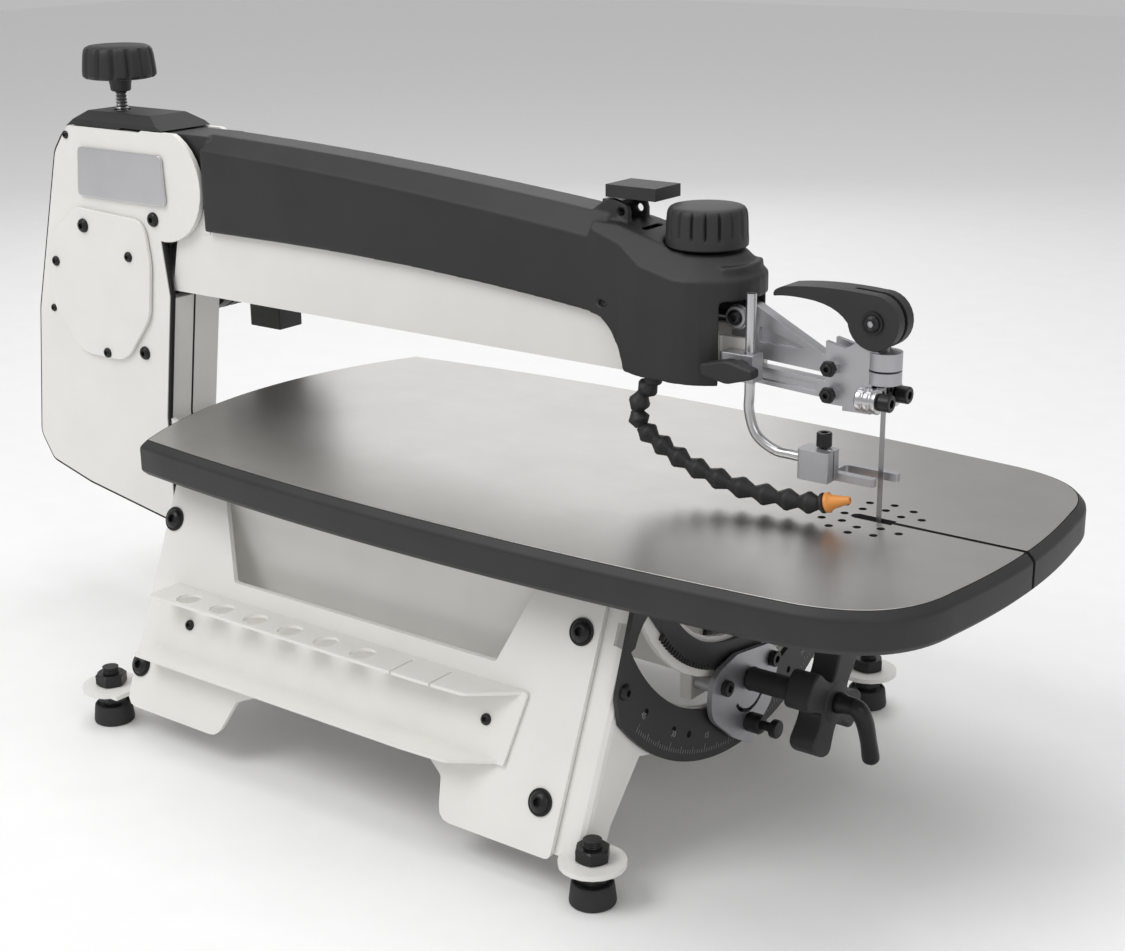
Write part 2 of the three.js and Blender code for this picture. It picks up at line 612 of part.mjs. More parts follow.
function rearRocker() {
  const [x, z] = ROCKER;
  const lever = sideSlab(outline([
    [x - 10, z], [x - 12.6, MOTOR[1] - 12, 8], [x - 12.6, MOTOR[1] + 10, 8], [x - 7.6, PUSH_TOP_Z + 7, 5],
    [x + 7.6, PUSH_TOP_Z + 7, 5], [x + 12.6, MOTOR[1] + 10, 8], [x + 12.6, MOTOR[1] - 12, 8], [x + 10, z],
    [x + 5, PUSH_LOW_Z - 7, 5], [x - 5, PUSH_LOW_Z - 7, 5]]), -4.2, 1.8);
  const hub = pinAcross(x, z, -5, 8, 12, 20);
  const studs = [PUSH_TOP_Z, PUSH_LOW_Z].map((height) => pinAcross(x, height, -11, -3, 3, 12));
  const slot = block(x - 7.9, x + 7.9, -6, 4, MOTOR[1] - 6, MOTOR[1] + 6);
  return cut(union(lever, hub, studs), pinAcross(x, z, -20, 20, 6.4, 14), slot);
}

// ---------------------------------------------------------------- tilt controls
function trunnionBracket() {
  const x0 = STAND_FRONT + 5.4;
  const x1 = x0 + 3.4;
  const lens = outline([
    [-13, 97.5, 14], [-40, 92, 16], [-42, 66, 20], [-16, 44, 10], [6, 31, 1], [8, 38, 3], [27, 52, 8],
    [37, 82, 10], [24, 92, 8]]);
  const posts = [-1, 1].map((side) => rodAlong(side * 23, 79, -103.7, x0 + 1, 5.2, 14));
  const plate = frontSlab(lens, x0, x1, 6);
  const bore = rodAlong(0, PINION_Z, -110, -70, 5.6, 14);
  const clampSlot = frontSlab(new THREE.Shape([
    ...arc([2, 74], 19, -2.6, -0.7, 8), ...arc([2, 74], 16.4, -0.7, -2.6, 8)].map((p) => new THREE.Vector2(...p))),
  x0 - 1, x1 + 1);
  const screwHole = rodAlong(0, 49, x0 - 2, x1 + 2, 3.2, 12);
  return cut(union(plate, posts), bore, clampSlot, screwHole);
}

function pinionShaft() {
  const pitch = (2 * Math.PI) / PINION_TEETH;
  const points = [];
  const radius = (SECTOR_RADIUS * PINION_TEETH) / SECTOR_TEETH;
  for (let tooth = 0; tooth < PINION_TEETH; tooth += 1) {
    for (const [turn, height] of [[-0.34, -1.7], [-0.1, 0.85], [0.1, 0.85], [0.34, -1.7]]) {
      const angle = Math.PI / 2 + (tooth + turn) * pitch;
      points.push(new THREE.Vector2((radius + height) * Math.cos(angle), PINION_Z + (radius + height) * Math.sin(angle)));
    }
  }
  const gear = frontSlab(new THREE.Shape(points), STAND_FRONT + GAP, STAND_FRONT + 4.6);
  const shaft = rodAlong(0, PINION_Z, -103.7, -40, 4.8, 14);
  const sleeve = rodAlong(0, PINION_Z, -81, -38, 7.2, 16);
  const hub = rodAlong(0, PINION_Z, -40, -22.6, 13, 20);
  const lobe = (turn) => {
    const [c, s] = [Math.cos(turn), Math.sin(turn)];
    const place = ([u, v]) => new THREE.Vector2(u * c - v * s, PINION_Z + u * s + v * c);
    const edge = [[0, -11], [14, -9.2], [25, -10.5], [31, -8], [33.4, 0], [31, 8], [25, 10.5], [14, 9.2], [0, 11]];
    return frontSlab(new THREE.Shape(edge.map(place)), -37, -22.6);
  };
  const lobes = [0, 1, 2, 3].map((quarter) => lobe(((quarter + 2 / 3) * Math.PI) / 2));
  return cut(union(gear, shaft, sleeve, hub, lobes), rodAlong(0, PINION_Z, -36, -20, 4.6, 16));
}

function tiltLockLever() {
  const stem = rodAlong(0, PINION_Z, -35, -21, 4.2, 12);
  const boss = rodAlong(0, PINION_Z, -21.9, -5, 6, 12);
  const lean = 0.3;
  const end = [-4, 38 * Math.sin(lean), PINION_Z - 38 * Math.cos(lean)];
  const arm = rod([-7, 0, PINION_Z], end, 6, 12, 5.4);
  const tip = solidOf(new THREE.SphereGeometry(6, 10, 6).translate(...end));
  const elbow = solidOf(new THREE.SphereGeometry(6.3, 10, 6).translate(-7, 0, PINION_Z));
  return union(stem, boss, arm, tip, elbow);
}

function pointerScrew() {
  const [y, z] = [0, 49];
  const shank = rodAlong(y, z, STAND_FRONT + 3.8, -63, 2.8, 10);
  const collar = rodAlong(y, z, -81.8, -72, 6, 12);
  const head = rodAlong(y, z, -65, -60.5, 5.6, 12);
  return union(shank, collar, head);
}

// ---------------------------------------------------------------- upper arm and head
const coverTop = (x) => {
  const along = (x + 551) / 365;
  return 375 - 7.1 * along - 14.9 * along * along;
};
const coverShoulder = (x) => coverTop(x) - 9 - (4 * (x + 551)) / 365;
const coverLow = (x) => 308.5 - 14 * Math.max(0, (x + 437) / 262) ** 2;

function armSection(x, low, inset) {
  const [y, flat] = [CASE_HALF - inset, 12 - inset * 0.5];
  return [[x, -y, low], [x, -y, coverShoulder(x) - inset], [x, -flat, coverTop(x) - inset],
    [x, flat, coverTop(x) - inset], [x, y, coverShoulder(x) - inset], [x, y, low]];
}

function headSolid(inset, z0, z1) {
  const radius = HEAD_RADIUS - inset;
  const front = arc([HEAD_X, 0], radius, -Math.PI / 2, Math.PI / 2, 14);
  const rear = [[-141, 34 - inset], [-160, 27 - inset], [-182, 24 - inset]];
  const left = rear.slice().reverse().map(([x, y]) => [x, -y]);
  const shape = new THREE.Shape([...front, ...rear, ...left].map((p) => new THREE.Vector2(...p)));
  return topSlab(shape, z0, z1);
}

// Trims the lower rear of the head to the sweep where the cover runs down to it.
function headSweep() {
  const sweep = new THREE.Shape();
  sweep.moveTo(-190, 200);
  sweep.lineTo(-190, 294.2);
  sweep.lineTo(-177, 294);
  sweep.quadraticCurveTo(-163, 290, -154, 262);
  sweep.lineTo(-154, 200);
  return sideSlab(sweep, -60, 60, 6);
}

const CROWN_RISE = 17;

// Trims the top of the head to a broad bevel that rises towards the arm.
function headCrown() {
  const tall = block(-200, -60, -60, 60, 300, 400);
  const ring = (grow, z) => [...arc([HEAD_X, 0], HEAD_RADIUS + grow, -Math.PI / 2, Math.PI / 2, 14),
    [-190, HEAD_RADIUS + grow - 6], [-190, -HEAD_RADIUS - grow + 6]]
    .map(([x, y]) => [x, y, z + (x < HEAD_X - 1 ? CROWN_RISE : 0)]);
  const keep = skinned([ring(0.4, 290), ring(0.4, HEAD_TOP - 13), ring(-12.5, HEAD_TOP), ring(-13, HEAD_TOP + 0.4)]);
  return cut(tall, keep);
}

function armCover() {
  const stations = [-510.5, -437, -380, -320, -260, -215, -176];
  const shell = skinned(stations.map((x) => armSection(x, coverLow(x), 0)));
  const head = cut(headSolid(0, HEAD_BOTTOM, HEAD_TOP + 12), headSweep(), headCrown());
  const hollow = skinned([-520, -437, -380, -320, -260, -215, -150].map((x) => armSection(x, 240, 5.2)));
  const chamber = headSolid(4, HEAD_BOTTOM - 9, 327);
  const neck = union(
    block(-556, -508, -17.6, 17.6, 318, 356),
    pinAcross(...ARM_PIVOT, -17.6, 17.6, 36, 24),
    block(-552, -508, -17.6, 17.6, ARM_PIVOT[1] - 29, ARM_PIVOT[1] + 36));
  const neckHollow = block(-512, -505, -13, 13, 300, 360);
  const bore = pinAcross(...ARM_PIVOT, -30, 30, 7.4, 16);
  const rodSlot = block(-610, -500, -13, 4, 270, 324);
  const mouth = block(-104, -70, -24.3, 24.3, 240, 312);
  const dialSeat = post(HEAD_X, 0, HEAD_TOP + 1.2, 380, 24.8, 24);
  const dialBore = post(HEAD_X, 0, 320, 345, 7, 16);
  const body = union(cut(union(shell, head), hollow, chamber), cut(neck, neckHollow, bore, rodSlot));
  const shelf = block(-98, -84, -20, 20, 313, 331).intersect(headSolid(3, 300, 340));
  return cut(union(body, shelf, switchEars()), mouth, dialSeat, dialBore);
}

const TOGGLE = [-178, 356.6];

function switchEars() {
  const ear = outline([[-192, 340], [-190, 353, 8], [-177, 362, 10], [-163, 358, 5], [-163, 340]]);
  const hole = pinAcross(-168.5, 353.6, -30, 30, 2.6, 10);
  const seat = pinAcross(...TOGGLE, -9.6, 9.6, 1.8, 10);
  return [-9.5, 9.5].map((y) => cut(sideSlab(ear, y - 2, y + 2, 5), hole, seat));
}

function powerToggle() {
  const [x, z] = TOGGLE;
  const pin = pinAcross(x, z, -9.2, 9.2, 1.5, 10);
  const rocker = sideSlab(outline([
    [x - 7, z + 0.3], [x, z - 1.8], [x + 7, z + 0.3], [x + 6.6, z + 2.8], [x, z + 1.7], [x - 6.6, z + 2.8]]), -6.6, 6.6);
  return union(pin, rocker);
}

function armBeam() {
  const profile = outline([
    [-553.5, ARM_BOTTOM, 2], [-158, ARM_BOTTOM, 2], [-158, 298], [-200, 304], [-330, 312], [-500, 318], [-505, 307.6],
    [-528, 307.6], [-540, 302.6], [-545, 299.6]]);
  const body = sideSlab(profile, -18, 18);
  const inside = block(-560, -140, -15, 15, ARM_BOTTOM + 4, 330);
  const tongue = block(-160, -104, -15, -12, ARM_BOTTOM + 8, 290);
  const tongueFar = block(-160, -82, 9, 13, ARM_BOTTOM + 5, 292);
  const nearWall = block(-160, -100, -15, -11, ARM_BOTTOM + 5, 292);
  const nose = block(-103, -82, -11.3, -8, ARM_BOTTOM + 5, 290);
  const join = block(-103, -98, -13, -8, ARM_BOTTOM + 5, 290);
  const pins = [CRANK, LINK].map(([x, z]) => pinAcross(x, z, -9, 10, 3, 12));
  return union(cut(body, inside), tongue, tongueFar, nearWall, nose, join, pins);
}

function speedDial() {
  const knob = flutedKnob(HEAD_X, 0, HEAD_TOP + 2.2, 361.4, 23.4, 16, 32);
  return union(knob, post(HEAD_X, 0, 322, HEAD_TOP + 4, 6, 16));
}

const ROD_X = -76;
const ROD_Y = -16;

function holdDownRod() {
  return tube([[ROD_X, ROD_Y, 318], [ROD_X, ROD_Y, 290], [ROD_X, ROD_Y, 262], [ROD_X, ROD_Y, 250], [ROD_X + 5, ROD_Y, 237],
    [ROD_X + 17, ROD_Y, 230], [ROD_X + 28, ROD_Y, 229.2], [ROD_X + 36, ROD_Y, 229]], 3, 10, 18);
}

function wingKnob() {
  const z = 276;
  const x = -77;
  const hub = pinAcross(x, z, -33, -23.4, 5.4, 16);
  const wings = sideSlab(outline([
    [x - 18, z - 6, 4], [x - 18, z + 5, 5], [x, z + 8.6, 8], [x + 18, z + 5, 5], [x + 18, z - 4, 5], [x, z - 8.6, 8]]),
  -41, -31, 6);
  return union(hub, wings);
}

function rodClamp() {
  const clamp = block(-92, -70, -23, -11.7, 268, 284);
  return cut(clamp, post(ROD_X, ROD_Y, 250, 300, 3.4, 12));
}

function holdDownFoot() {
  const [z0, z1] = [217.5, 235];
  const body = topSlab(outline([[-42, -21, 3], [-42, -7, 2], [-22, -7, 2], [-22, -21, 2]]), z0, z1);
  const bore = rodAlong(ROD_Y, 229, -50, -30, 3.3, 12);
  const slit = block(-30, -20, -14.6, -13.4, 210, 240);
  const fork = union(
    topSlab(outline([[-42, -21, 4], [-42, 9, 4], [8, 9, 2], [8, 4.6, 2], [-24, 4.6, 3], [-24, -7, 2], [2, -7, 2],
      [2, -12, 2], [-22, -12], [-22, -21]]), z0, z0 + 4.6));
  return cut(union(body, fork), bore, slit, post(-30, -11, 225, 240, 2.4, 10));
}

function footScrew() {
  const head = post(-30, -11, 236, 244, 4.4, 16);
  const stem = post(-30, -11, 226, 237, 2, 10);
  return cut(union(head, stem), post(-30, -11, 240, 246, 2.2, 6));
}

// ---------------------------------------------------------------- blade drive
// A link plate with round ends between two pivots, thicker along its edges.
function linkBar(from, to, half, width) {
  const angle = Math.atan2(to[1] - from[1], to[0] - from[0]);
  const ends = [...arc(to, half, angle - Math.PI / 2, angle + Math.PI / 2, 8),
    ...arc(from, half, angle + Math.PI / 2, angle + Math.PI * 1.5, 8)];
  return sideSlab(new THREE.Shape(ends.map((p) => new THREE.Vector2(...p))), -width, width);
}

function pocket(points, y0, y1) {
  return [sideSlab(outline(points), -y1, -y0), sideSlab(outline(points), y0, y1)];
}

function upperCrank() {
  const bar = linkBar(CRANK, HOLDER_TOP, 5.4, 4);
  const push = [CRANK[0], PUSH_TOP_Z];
  const web = sideSlab(outline([[CRANK[0] - 8, CRANK[1]], [push[0] - 8, push[1] + 4, 6], [push[0] + 7, push[1] + 7, 5],
    [-36, 286.4, 1], [-36, 276.4]]), -4, 4, 4);
  const recess = pocket([[-78, 297, 2], [-46, 287.4, 1], [-78, 287.6, 2]], 2, 6);
  const bolt = pinAcross(push[0], push[1], -11, 7, 3, 12);
  const head = pinAcross(push[0], push[1], -13.4, -10, 6.4, 16);
  return cut(union(bar, web, bolt, head), recess, pinAcross(...CRANK, -20, 20, 3.3, 12),
    pinAcross(...HOLDER_TOP, -20, 20, 3.1, 12));
}

function upperLink() {
  const bar = linkBar(LINK, HOLDER_LOW, 5, 4);
  const recess = pocket([[-78, 270.6], [-40, 269.2], [-40, 264.4], [-78, 266.2]], 2.6, 6);
  return cut(bar, recess, pinAcross(...LINK, -20, 20, 3.3, 12), pinAcross(...HOLDER_LOW, -20, 20, 3.1, 12));
}

const hexHead = (x, z, y0, y1) => pinAcross(x, z, y0, y1, 4.4, 6);

function upperHolder() {
  const cheek = outline([[-33, 259.5], [-33, 295], [-21, 292.5], [-18, 259.5]]);
  const cheeks = [sideSlab(cheek, -7.4, -4.4), sideSlab(cheek, 4.4, 7.4)];
  const body = sideSlab(outline([[-21.5, 257], [-21.5, 292], [-10, 299, 2], [0, 292.4], [0, 275], [-4, 275],
    [-4, 257.5]]), -7.4, 7.4);
  const boss = post(0, 0, 274.6, 292.4, 9.4, 20);
  const slit = block(-6, 12, -12, 12, 281.6, 282.8);
  const lug = sideSlab(outline([[-9, 286], [-9, 312, 4], [1, 316, 4], [2, 286]]), -1.3, 1.3);
  const pin = pinAcross(...CAM, -1.3, 1.3, 6, 16);
  const pins = [HOLDER_TOP, HOLDER_LOW].map(([x, z]) => pinAcross(x, z, -8, 8, 2.8, 12));
  const heads = [HOLDER_TOP, HOLDER_LOW].map(([x, z]) => hexHead(x, z, -11, -7));
  const back = [HOLDER_TOP, HOLDER_LOW].map(([x, z]) => hexHead(x, z, 7, 10));
  const camPin = pinAcross(...CAM, -12, 12, 2.4, 12);
  const camRoom = [pinAcross(...CAM, -10, -1.3, CAM_RADIUS + 0.6, 28), pinAcross(...CAM, 1.3, 10, CAM_RADIUS + 0.6, 28)];
  const frame = cut(union(body, boss), camRoom, slit);
  return union(frame, cheeks, lug, pin, pins, heads, back, camPin);
}

function upperChuck() {
  const barrel = (y) => {
    const ribs = [-9.2, -5.2, -1.2].map((x) => rodAlong(y, 266.5, x, x + 3, 7, 12));
    return union(rodAlong(y, 266.5, -9.6, 3, 6.3, 12), ribs);
  };
  const bridge = block(-0.6, 3, -10, 10, 261, 273.8);
  const both = union(barrel(-10.6), barrel(10.6), bridge);
  const holderRoom = block(-12, -3.4, -7.8, 7.8, 250, 280);
  const bladeSlit = block(-3, 5, -0.6, 0.6, 250, 268.6);
  const bores = [-10.6, 10.6].map((y) => rodAlong(y, 266.5, -2, 8, 2.9, 12));
  return cut(both, holderRoom, bladeSlit, bores);
}

function chuckScrew(y) {
  const head = rodAlong(y, 266.5, 3.3, 12.5, 4.9, 14);
  const stem = rodAlong(y, 266.5, -1.4, 4, 2.5, 12);
  return cut(union(head, stem), rodAlong(y, 266.5, 7.5, 13, 2.4, 6));
}

function tensionLever() {
  const disc = (y0, y1) => pinAcross(...CAM, y0, y1, CAM_RADIUS, 28);
  const horn = new THREE.Shape();
  horn.moveTo(-66, 316.5);
  horn.quadraticCurveTo(-68, 320, -60, 322.6);
  horn.quadraticCurveTo(-34, 326.6, -4, 324.4);
  horn.lineTo(-16, 300);
  horn.quadraticCurveTo(-20, 314, -40, 316.8);
  horn.quadraticCurveTo(-56, 318.4, -66, 316.5);
  const arm = cut(sideSlab(horn, -9, 9, 7), block(-19.4, 20, -1.7, 1.7, 290, 330));
  const body = union(arm, disc(-9, -1.7), disc(1.7, 9));
  return cut(body, pinAcross(...CAM, -20, 20, 2.8, 12));
}

const BLADE_LOW = 141;

function sawBlade() {
  return block(-1.5, 1.5, -0.25, 0.25, BLADE_LOW, 268);
}

function pushRod(x0, x1, z) {
  const y = PUSH_Y;
  const bar = rod([x0 + 5, y, z], [x1 - 5, y, z], 2.4, 10);
  const eye = (x) => pinAcross(x, z, y - 2.4, y + 2.4, 6.4, 16);
  const bores = [x0, x1].map((x) => pinAcross(x, z, y - 9, y + 9, 3.6, 12));
  return cut(union(bar, eye(x0), eye(x1)), bores);
}

// The rear eye is an open hook, so that it leaves its stud when the arm is lifted.
function upperPushRod() {
  const path = union(
    pinAcross(ROCKER[0], PUSH_TOP_Z, PUSH_Y - 9, PUSH_Y + 9, 3.7, 10),
    sideSlab(outline([[-579, 304.8], [-585, 299.2], [-597, 309], [-597, 322], [-586, 315.5]]), PUSH_Y - 9, PUSH_Y + 9));
  return cut(pushRod(ROCKER[0], CRANK[0], PUSH_TOP_Z), path);
}

function lowerCrank() {
  const bar = linkBar(LOWER_CRANK, LOWER_HOLDER_LOW, 4.6, 4);
  const lever = sideSlab(outline([[LOWER_CRANK[0] - 5, LOWER_CRANK[1]], [LOWER_CRANK[0] + 5, LOWER_CRANK[1]],
    [LOWER_CRANK[0] + 5, PUSH_LOW_Z - 5, 4], [LOWER_CRANK[0] - 5, PUSH_LOW_Z - 5, 4]]), -4, 4);
  const stud = pinAcross(LOWER_CRANK[0], PUSH_LOW_Z, -11, -3, 3, 12);
  return cut(union(bar, lever, stud), pinAcross(...LOWER_CRANK, -20, 20, 3.3, 12),
    pinAcross(...LOWER_HOLDER_LOW, -20, 20, 3.1, 12));
}

function lowerLink() {
  const bar = linkBar(LOWER_LINK, LOWER_HOLDER_TOP, 4.6, 4);
  return cut(bar, pinAcross(...LOWER_LINK, -20, 20, 3.3, 12), pinAcross(...LOWER_HOLDER_TOP, -20, 20, 3.1, 12));
}

function lowerHolder() {
  const cheek = outline([[-34, 134.5], [-34, 162.5], [-18, 162.5], [-18, 134.5]]);
  const cheeks = [sideSlab(cheek, -7.4, -4.4), sideSlab(cheek, 4.4, 7.4)];
  const body = block(-20, 6, -7.4, 7.4, 136, 162.5);
  const bladeRoom = block(-2.6, 10, -0.6, 0.6, 140, 170);
  const pins = [LOWER_HOLDER_TOP, LOWER_HOLDER_LOW].map(([x, z]) => pinAcross(x, z, -9.6, 9.6, 2.8, 12));
  const screwBore = pinAcross(0, 155, -10, -0.5, 2.9, 12);
  return cut(union(body, cheeks, pins), bladeRoom, screwBore);
}

function lowerChuckScrew() {
  const stem = pinAcross(0, 155, -12, -1, 2.5, 12);
  const wing = sideSlab(outline([[-9, 152, 2], [-9, 158, 2], [9, 158, 2], [9, 152, 2]]), -18, -11);
  return union(stem, wing);
}

// ---------------------------------------------------------------- air hose
const HOSE_ROUTE = [
  [-136, -24.5, 260], [-143, -25, 252], [-147.5, -25, 241], [-144, -25, 231.5], [-134.4, -25, 225.4],
  [-123.6, -25, 220], [-111.5, -25, 214.8], [-98.3, -24, 210.7], [-83.4, -24, 207.4], [-68, -23, 205.3],
  [-53.4, -22, 204.4], [-39.5, -21, 204.2], [-27, -20, 205.2]];

const HOSE_BULGE = 5.8;
const HOSE_WAIST = 4.2;

// Ball-and-socket segments along part of the route, one bulge between each pair of points.
function hoseRun(from, to) {
  const parts = [];
  for (let i = from; i < to; i += 1) {
    const [a, b] = [HOSE_ROUTE[i], HOSE_ROUTE[i + 1]];
    const middle = a.map((value, k) => (value + b[k]) / 2);
    const past = b.map((value, k) => value + (value - a[k]) * 0.06);
    parts.push(rod(a, middle, HOSE_WAIST, 8, HOSE_BULGE));
    parts.push(rod(middle, past, HOSE_BULGE, 8, HOSE_WAIST));
  }
  return union(parts);
}

function hoseUpper() {
  const fitting = post(-136, -24.5, 258.5, HEAD_BOTTOM + 5, 4.4, 12);
  return union(hoseRun(0, 6), fitting);
}

function hoseLower() {
  const [from, to] = [HOSE_ROUTE[6], HOSE_ROUTE[7]];
  const start = from.map((value, k) => value + (to[k] - value) * 0.1);
  const room = solidOf(new THREE.SphereGeometry(4.7, 10, 6).translate(...from));
  return cut(union(hoseRun(7, 12), rod(start, to, HOSE_WAIST, 8, HOSE_BULGE)), room);
}

function airNozzle() {
  const [x, y, z] = HOSE_ROUTE[12];
  const along = new THREE.Vector3(0.955, 0.16, 0.25).normalize();
  const at = (distance) => [x + along.x * distance, y + along.y * distance, z + along.z * distance];
  const cone = rod(at(2), at(21), 5.2, 14, 1.8);
  const room = solidOf(new THREE.SphereGeometry(4.9, 10, 6).translate(x, y, z));
  return cut(cone, room, rod(at(10), at(26), 1, 8));
}

// ---------------------------------------------------------------- assembly
add('table_top', tableTop(), steel());
add('table_rim', tableRim(), black());
add('side_plate_right', sidePlate(), white());
add('side_plate_left', mirrored(sidePlate()), white());
add('support_panel_right', supportPanel(), white());
add('support_panel_left', mirrored(supportPanel()), white());
add('front_frame', frontFrame(), white());
add('rear_frame', rearFrame(), white());
add('trunnion_plate', trunnionPlate(), black());
add('tool_tray', mirrored(toolTray()), white());
for (const [end, x] of [['front', FRONT_FOOT_X], ['rear', REAR_FOOT_X]]) {
  for (const [side, sign] of [['left', -1], ['right', 1]]) {
    add(`levelling_foot_${end}_${side}`, levellingFoot(x, sign * FOOT_Y), iron());
  }
}
add('column_case_left', leftCase(), white());
add('column_case_right', rightCase(), white());
add('column_cover_plate', coverPlate(), white());
add('column_cap', columnCap(), black());
add('gear_cover', gearCover(), white());
add('badge_plate', badgePlate(), bright());
add('lower_arm', lowerArm(), white());
add('rear_guide_shoe', rearGuideShoe(), casting());
add('motor', motorBody(), black());
add('motor_crank', motorCrank(), steel());
add('power_inlet', powerInlet(), black());
add('rear_tension_knob', rearKnob(), black());
add('rear_rocker', rearRocker(), casting());
add('trunnion_bracket', trunnionBracket(), casting());
add('tilt_knob_and_pinion', pinionShaft(), black());
add('tilt_lock_lever', tiltLockLever(), black());
add('pointer_screw', pointerScrew(), iron());
add('arm_beam', armBeam(), white());
add('arm_cover', armCover(), black());
add('speed_dial', speedDial(), black());
add('power_toggle', powerToggle(), black());
add('rod_clamp', rodClamp(), casting());
add('hold_down_rod', holdDownRod(), bright());
add('hold_down_wing_knob', wingKnob(), black());
add('hold_down_foot', holdDownFoot(), casting());
add('foot_clamp_screw', footScrew(), iron());
add('upper_bell_crank', upperCrank(), casting());
add('upper_link', upperLink(), casting());
add('upper_blade_holder', upperHolder(), casting());
add('upper_chuck', upperChuck(), bright());
add('chuck_screw_left', chuckScrew(-10.6), iron());
add('chuck_screw_right', chuckScrew(10.6), iron());
add('tension_lever', tensionLever(), black());
add('saw_blade', sawBlade(), steel());
add('upper_push_rod', upperPushRod(), steel());
add('lower_push_rod', pushRod(ROCKER[0], LOWER_CRANK[0], PUSH_LOW_Z), steel());
add('lower_bell_crank', lowerCrank(), casting());
add('lower_link', lowerLink(), casting());
add('lower_blade_holder', lowerHolder(), casting());
add('lower_chuck_screw', lowerChuckScrew(), black());
add('air_hose_upper', hoseUpper(), black());
add('air_hose_lower', hoseLower(), black());
add('air_nozzle', airNozzle(), finish(0xe8a55a, 0.4, 0));

meshes.position.x = BLADE_X;
const group = new THREE.Group();
group.add(meshes);

export default group;
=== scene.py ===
"""Looks of a parallel-link scroll saw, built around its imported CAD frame.

Places are given as on the CAD part: millimetres from the blade line, +X towards the operator,
+Z up. mm() turns them into the row frame in metres.
"""

import json
import math

import bmesh
import bpy
from mathutils import Matrix, Vector


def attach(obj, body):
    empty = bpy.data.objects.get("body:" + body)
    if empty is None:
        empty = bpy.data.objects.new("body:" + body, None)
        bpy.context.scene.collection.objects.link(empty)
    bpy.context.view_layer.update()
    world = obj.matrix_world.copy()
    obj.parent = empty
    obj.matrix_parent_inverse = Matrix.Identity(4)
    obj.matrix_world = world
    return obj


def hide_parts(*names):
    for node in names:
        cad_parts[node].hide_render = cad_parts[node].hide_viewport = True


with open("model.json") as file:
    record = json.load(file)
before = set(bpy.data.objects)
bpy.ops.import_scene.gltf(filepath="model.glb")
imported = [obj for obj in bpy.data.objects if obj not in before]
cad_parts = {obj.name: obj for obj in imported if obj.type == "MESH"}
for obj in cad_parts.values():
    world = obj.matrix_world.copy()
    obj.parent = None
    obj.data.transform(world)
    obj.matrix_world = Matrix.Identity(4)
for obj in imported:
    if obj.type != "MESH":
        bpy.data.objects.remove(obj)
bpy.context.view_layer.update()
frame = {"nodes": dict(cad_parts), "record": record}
RECORD = frame["record"]
BODY_OF = {node: body for body, nodes in RECORD["behaviour"]["bodies"].items() for node in nodes}
SLOT_OF = {part["node"]: part["material_slot"] for part in RECORD["subparts"]}

BLADE_X = 0.3094          # blade line in the row frame, metres
TABLE_Z = 195.1           # table top, and height of the tilt axis
PINION_Z = TABLE_Z - 117.4
SPLAY = math.radians(22.5)
SPLAY_Y, SPLAY_Z = 111.1, 153.9
LUG_TOP = 26.3
FOOT_PLACES = [("front_left", -84, -158), ("front_right", -84, 158),
               ("rear_left", -484, -158), ("rear_right", -484, 158)]
TAU = 2 * math.pi
FLAT_ANGLE = math.radians(1.2)    # faces closer to flat than this are merged
CAMERA_ANGLES = (37.2183, 18.0054, -0.6717)    # azimuth, elevation, roll in degrees
CAMERA_PLACE = (454.9, -890.7, 543.5)
CAMERA_LENS = 59.74
FLOOR_HALF = 6            # metres
WORLD_STRENGTH = 0.5


def mm(x, y, z):
    return Vector((x / 1000 + BLADE_X, y / 1000, z / 1000))


# ---------------------------------------------------------------- materials
def new_material(name, color, roughness, metallic=0.0):
    material = bpy.data.materials.new(name)
    material.use_nodes = True
    shader = material.node_tree.nodes["Principled BSDF"]
    shader.inputs["Base Color"].default_value = (*color, 1)
    shader.inputs["Roughness"].default_value = roughness
    shader.inputs["Metallic"].default_value = metallic
    return material


def noise_node(material, scale, detail, stretch=(1, 1, 1)):
    nodes, links = material.node_tree.nodes, material.node_tree.links
    place = nodes.new("ShaderNodeTexCoord")
    mapping = nodes.new("ShaderNodeMapping")
    mapping.inputs["Scale"].default_value = stretch
    noise = nodes.new("ShaderNodeTexNoise")
    noise.inputs["Scale"].default_value = scale
    noise.inputs["Detail"].default_value = detail
    links.new(place.outputs["Object"], mapping.inputs["Vector"])
    links.new(mapping.outputs["Vector"], noise.inputs["Vector"])
    return noise.outputs["Fac"]


def tinted(material, fac, color, spread, low=0.3, high=0.7):
    """Base colour that wanders by spread either side of color."""
    nodes, links = material.node_tree.nodes, material.node_tree.links
    ramp = nodes.new("ShaderNodeValToRGB")
    ramp.color_ramp.elements[0].position = low
    ramp.color_ramp.elements[1].position = high
    ramp.color_ramp.elements[0].color = (*[c * (1 - spread) for c in color], 1)
    ramp.color_ramp.elements[1].color = (*[min(1, c * (1 + spread)) for c in color], 1)
    links.new(fac, ramp.inputs["Fac"])
    links.new(ramp.outputs["Color"], nodes["Principled BSDF"].inputs["Base Color"])


def roughened(material, fac, low, high):
    nodes, links = material.node_tree.nodes, material.node_tree.links
    spread = nodes.new("ShaderNodeMapRange")
    spread.inputs["To Min"].default_value = low
    spread.inputs["To Max"].default_value = high
    links.new(fac, spread.inputs["Value"])
    links.new(spread.outputs["Result"], nodes["Principled BSDF"].inputs["Roughness"])


def bumped(material, fac, strength, depth):
    nodes, links = material.node_tree.nodes, material.node_tree.links
    bump = nodes.new("ShaderNodeBump")
    bump.inputs["Strength"].default_value = strength
    bump.inputs["Distance"].default_value = depth
    links.new(fac, bump.inputs["Height"])
    links.new(bump.outputs["Normal"], nodes["Principled BSDF"].inputs["Normal"])


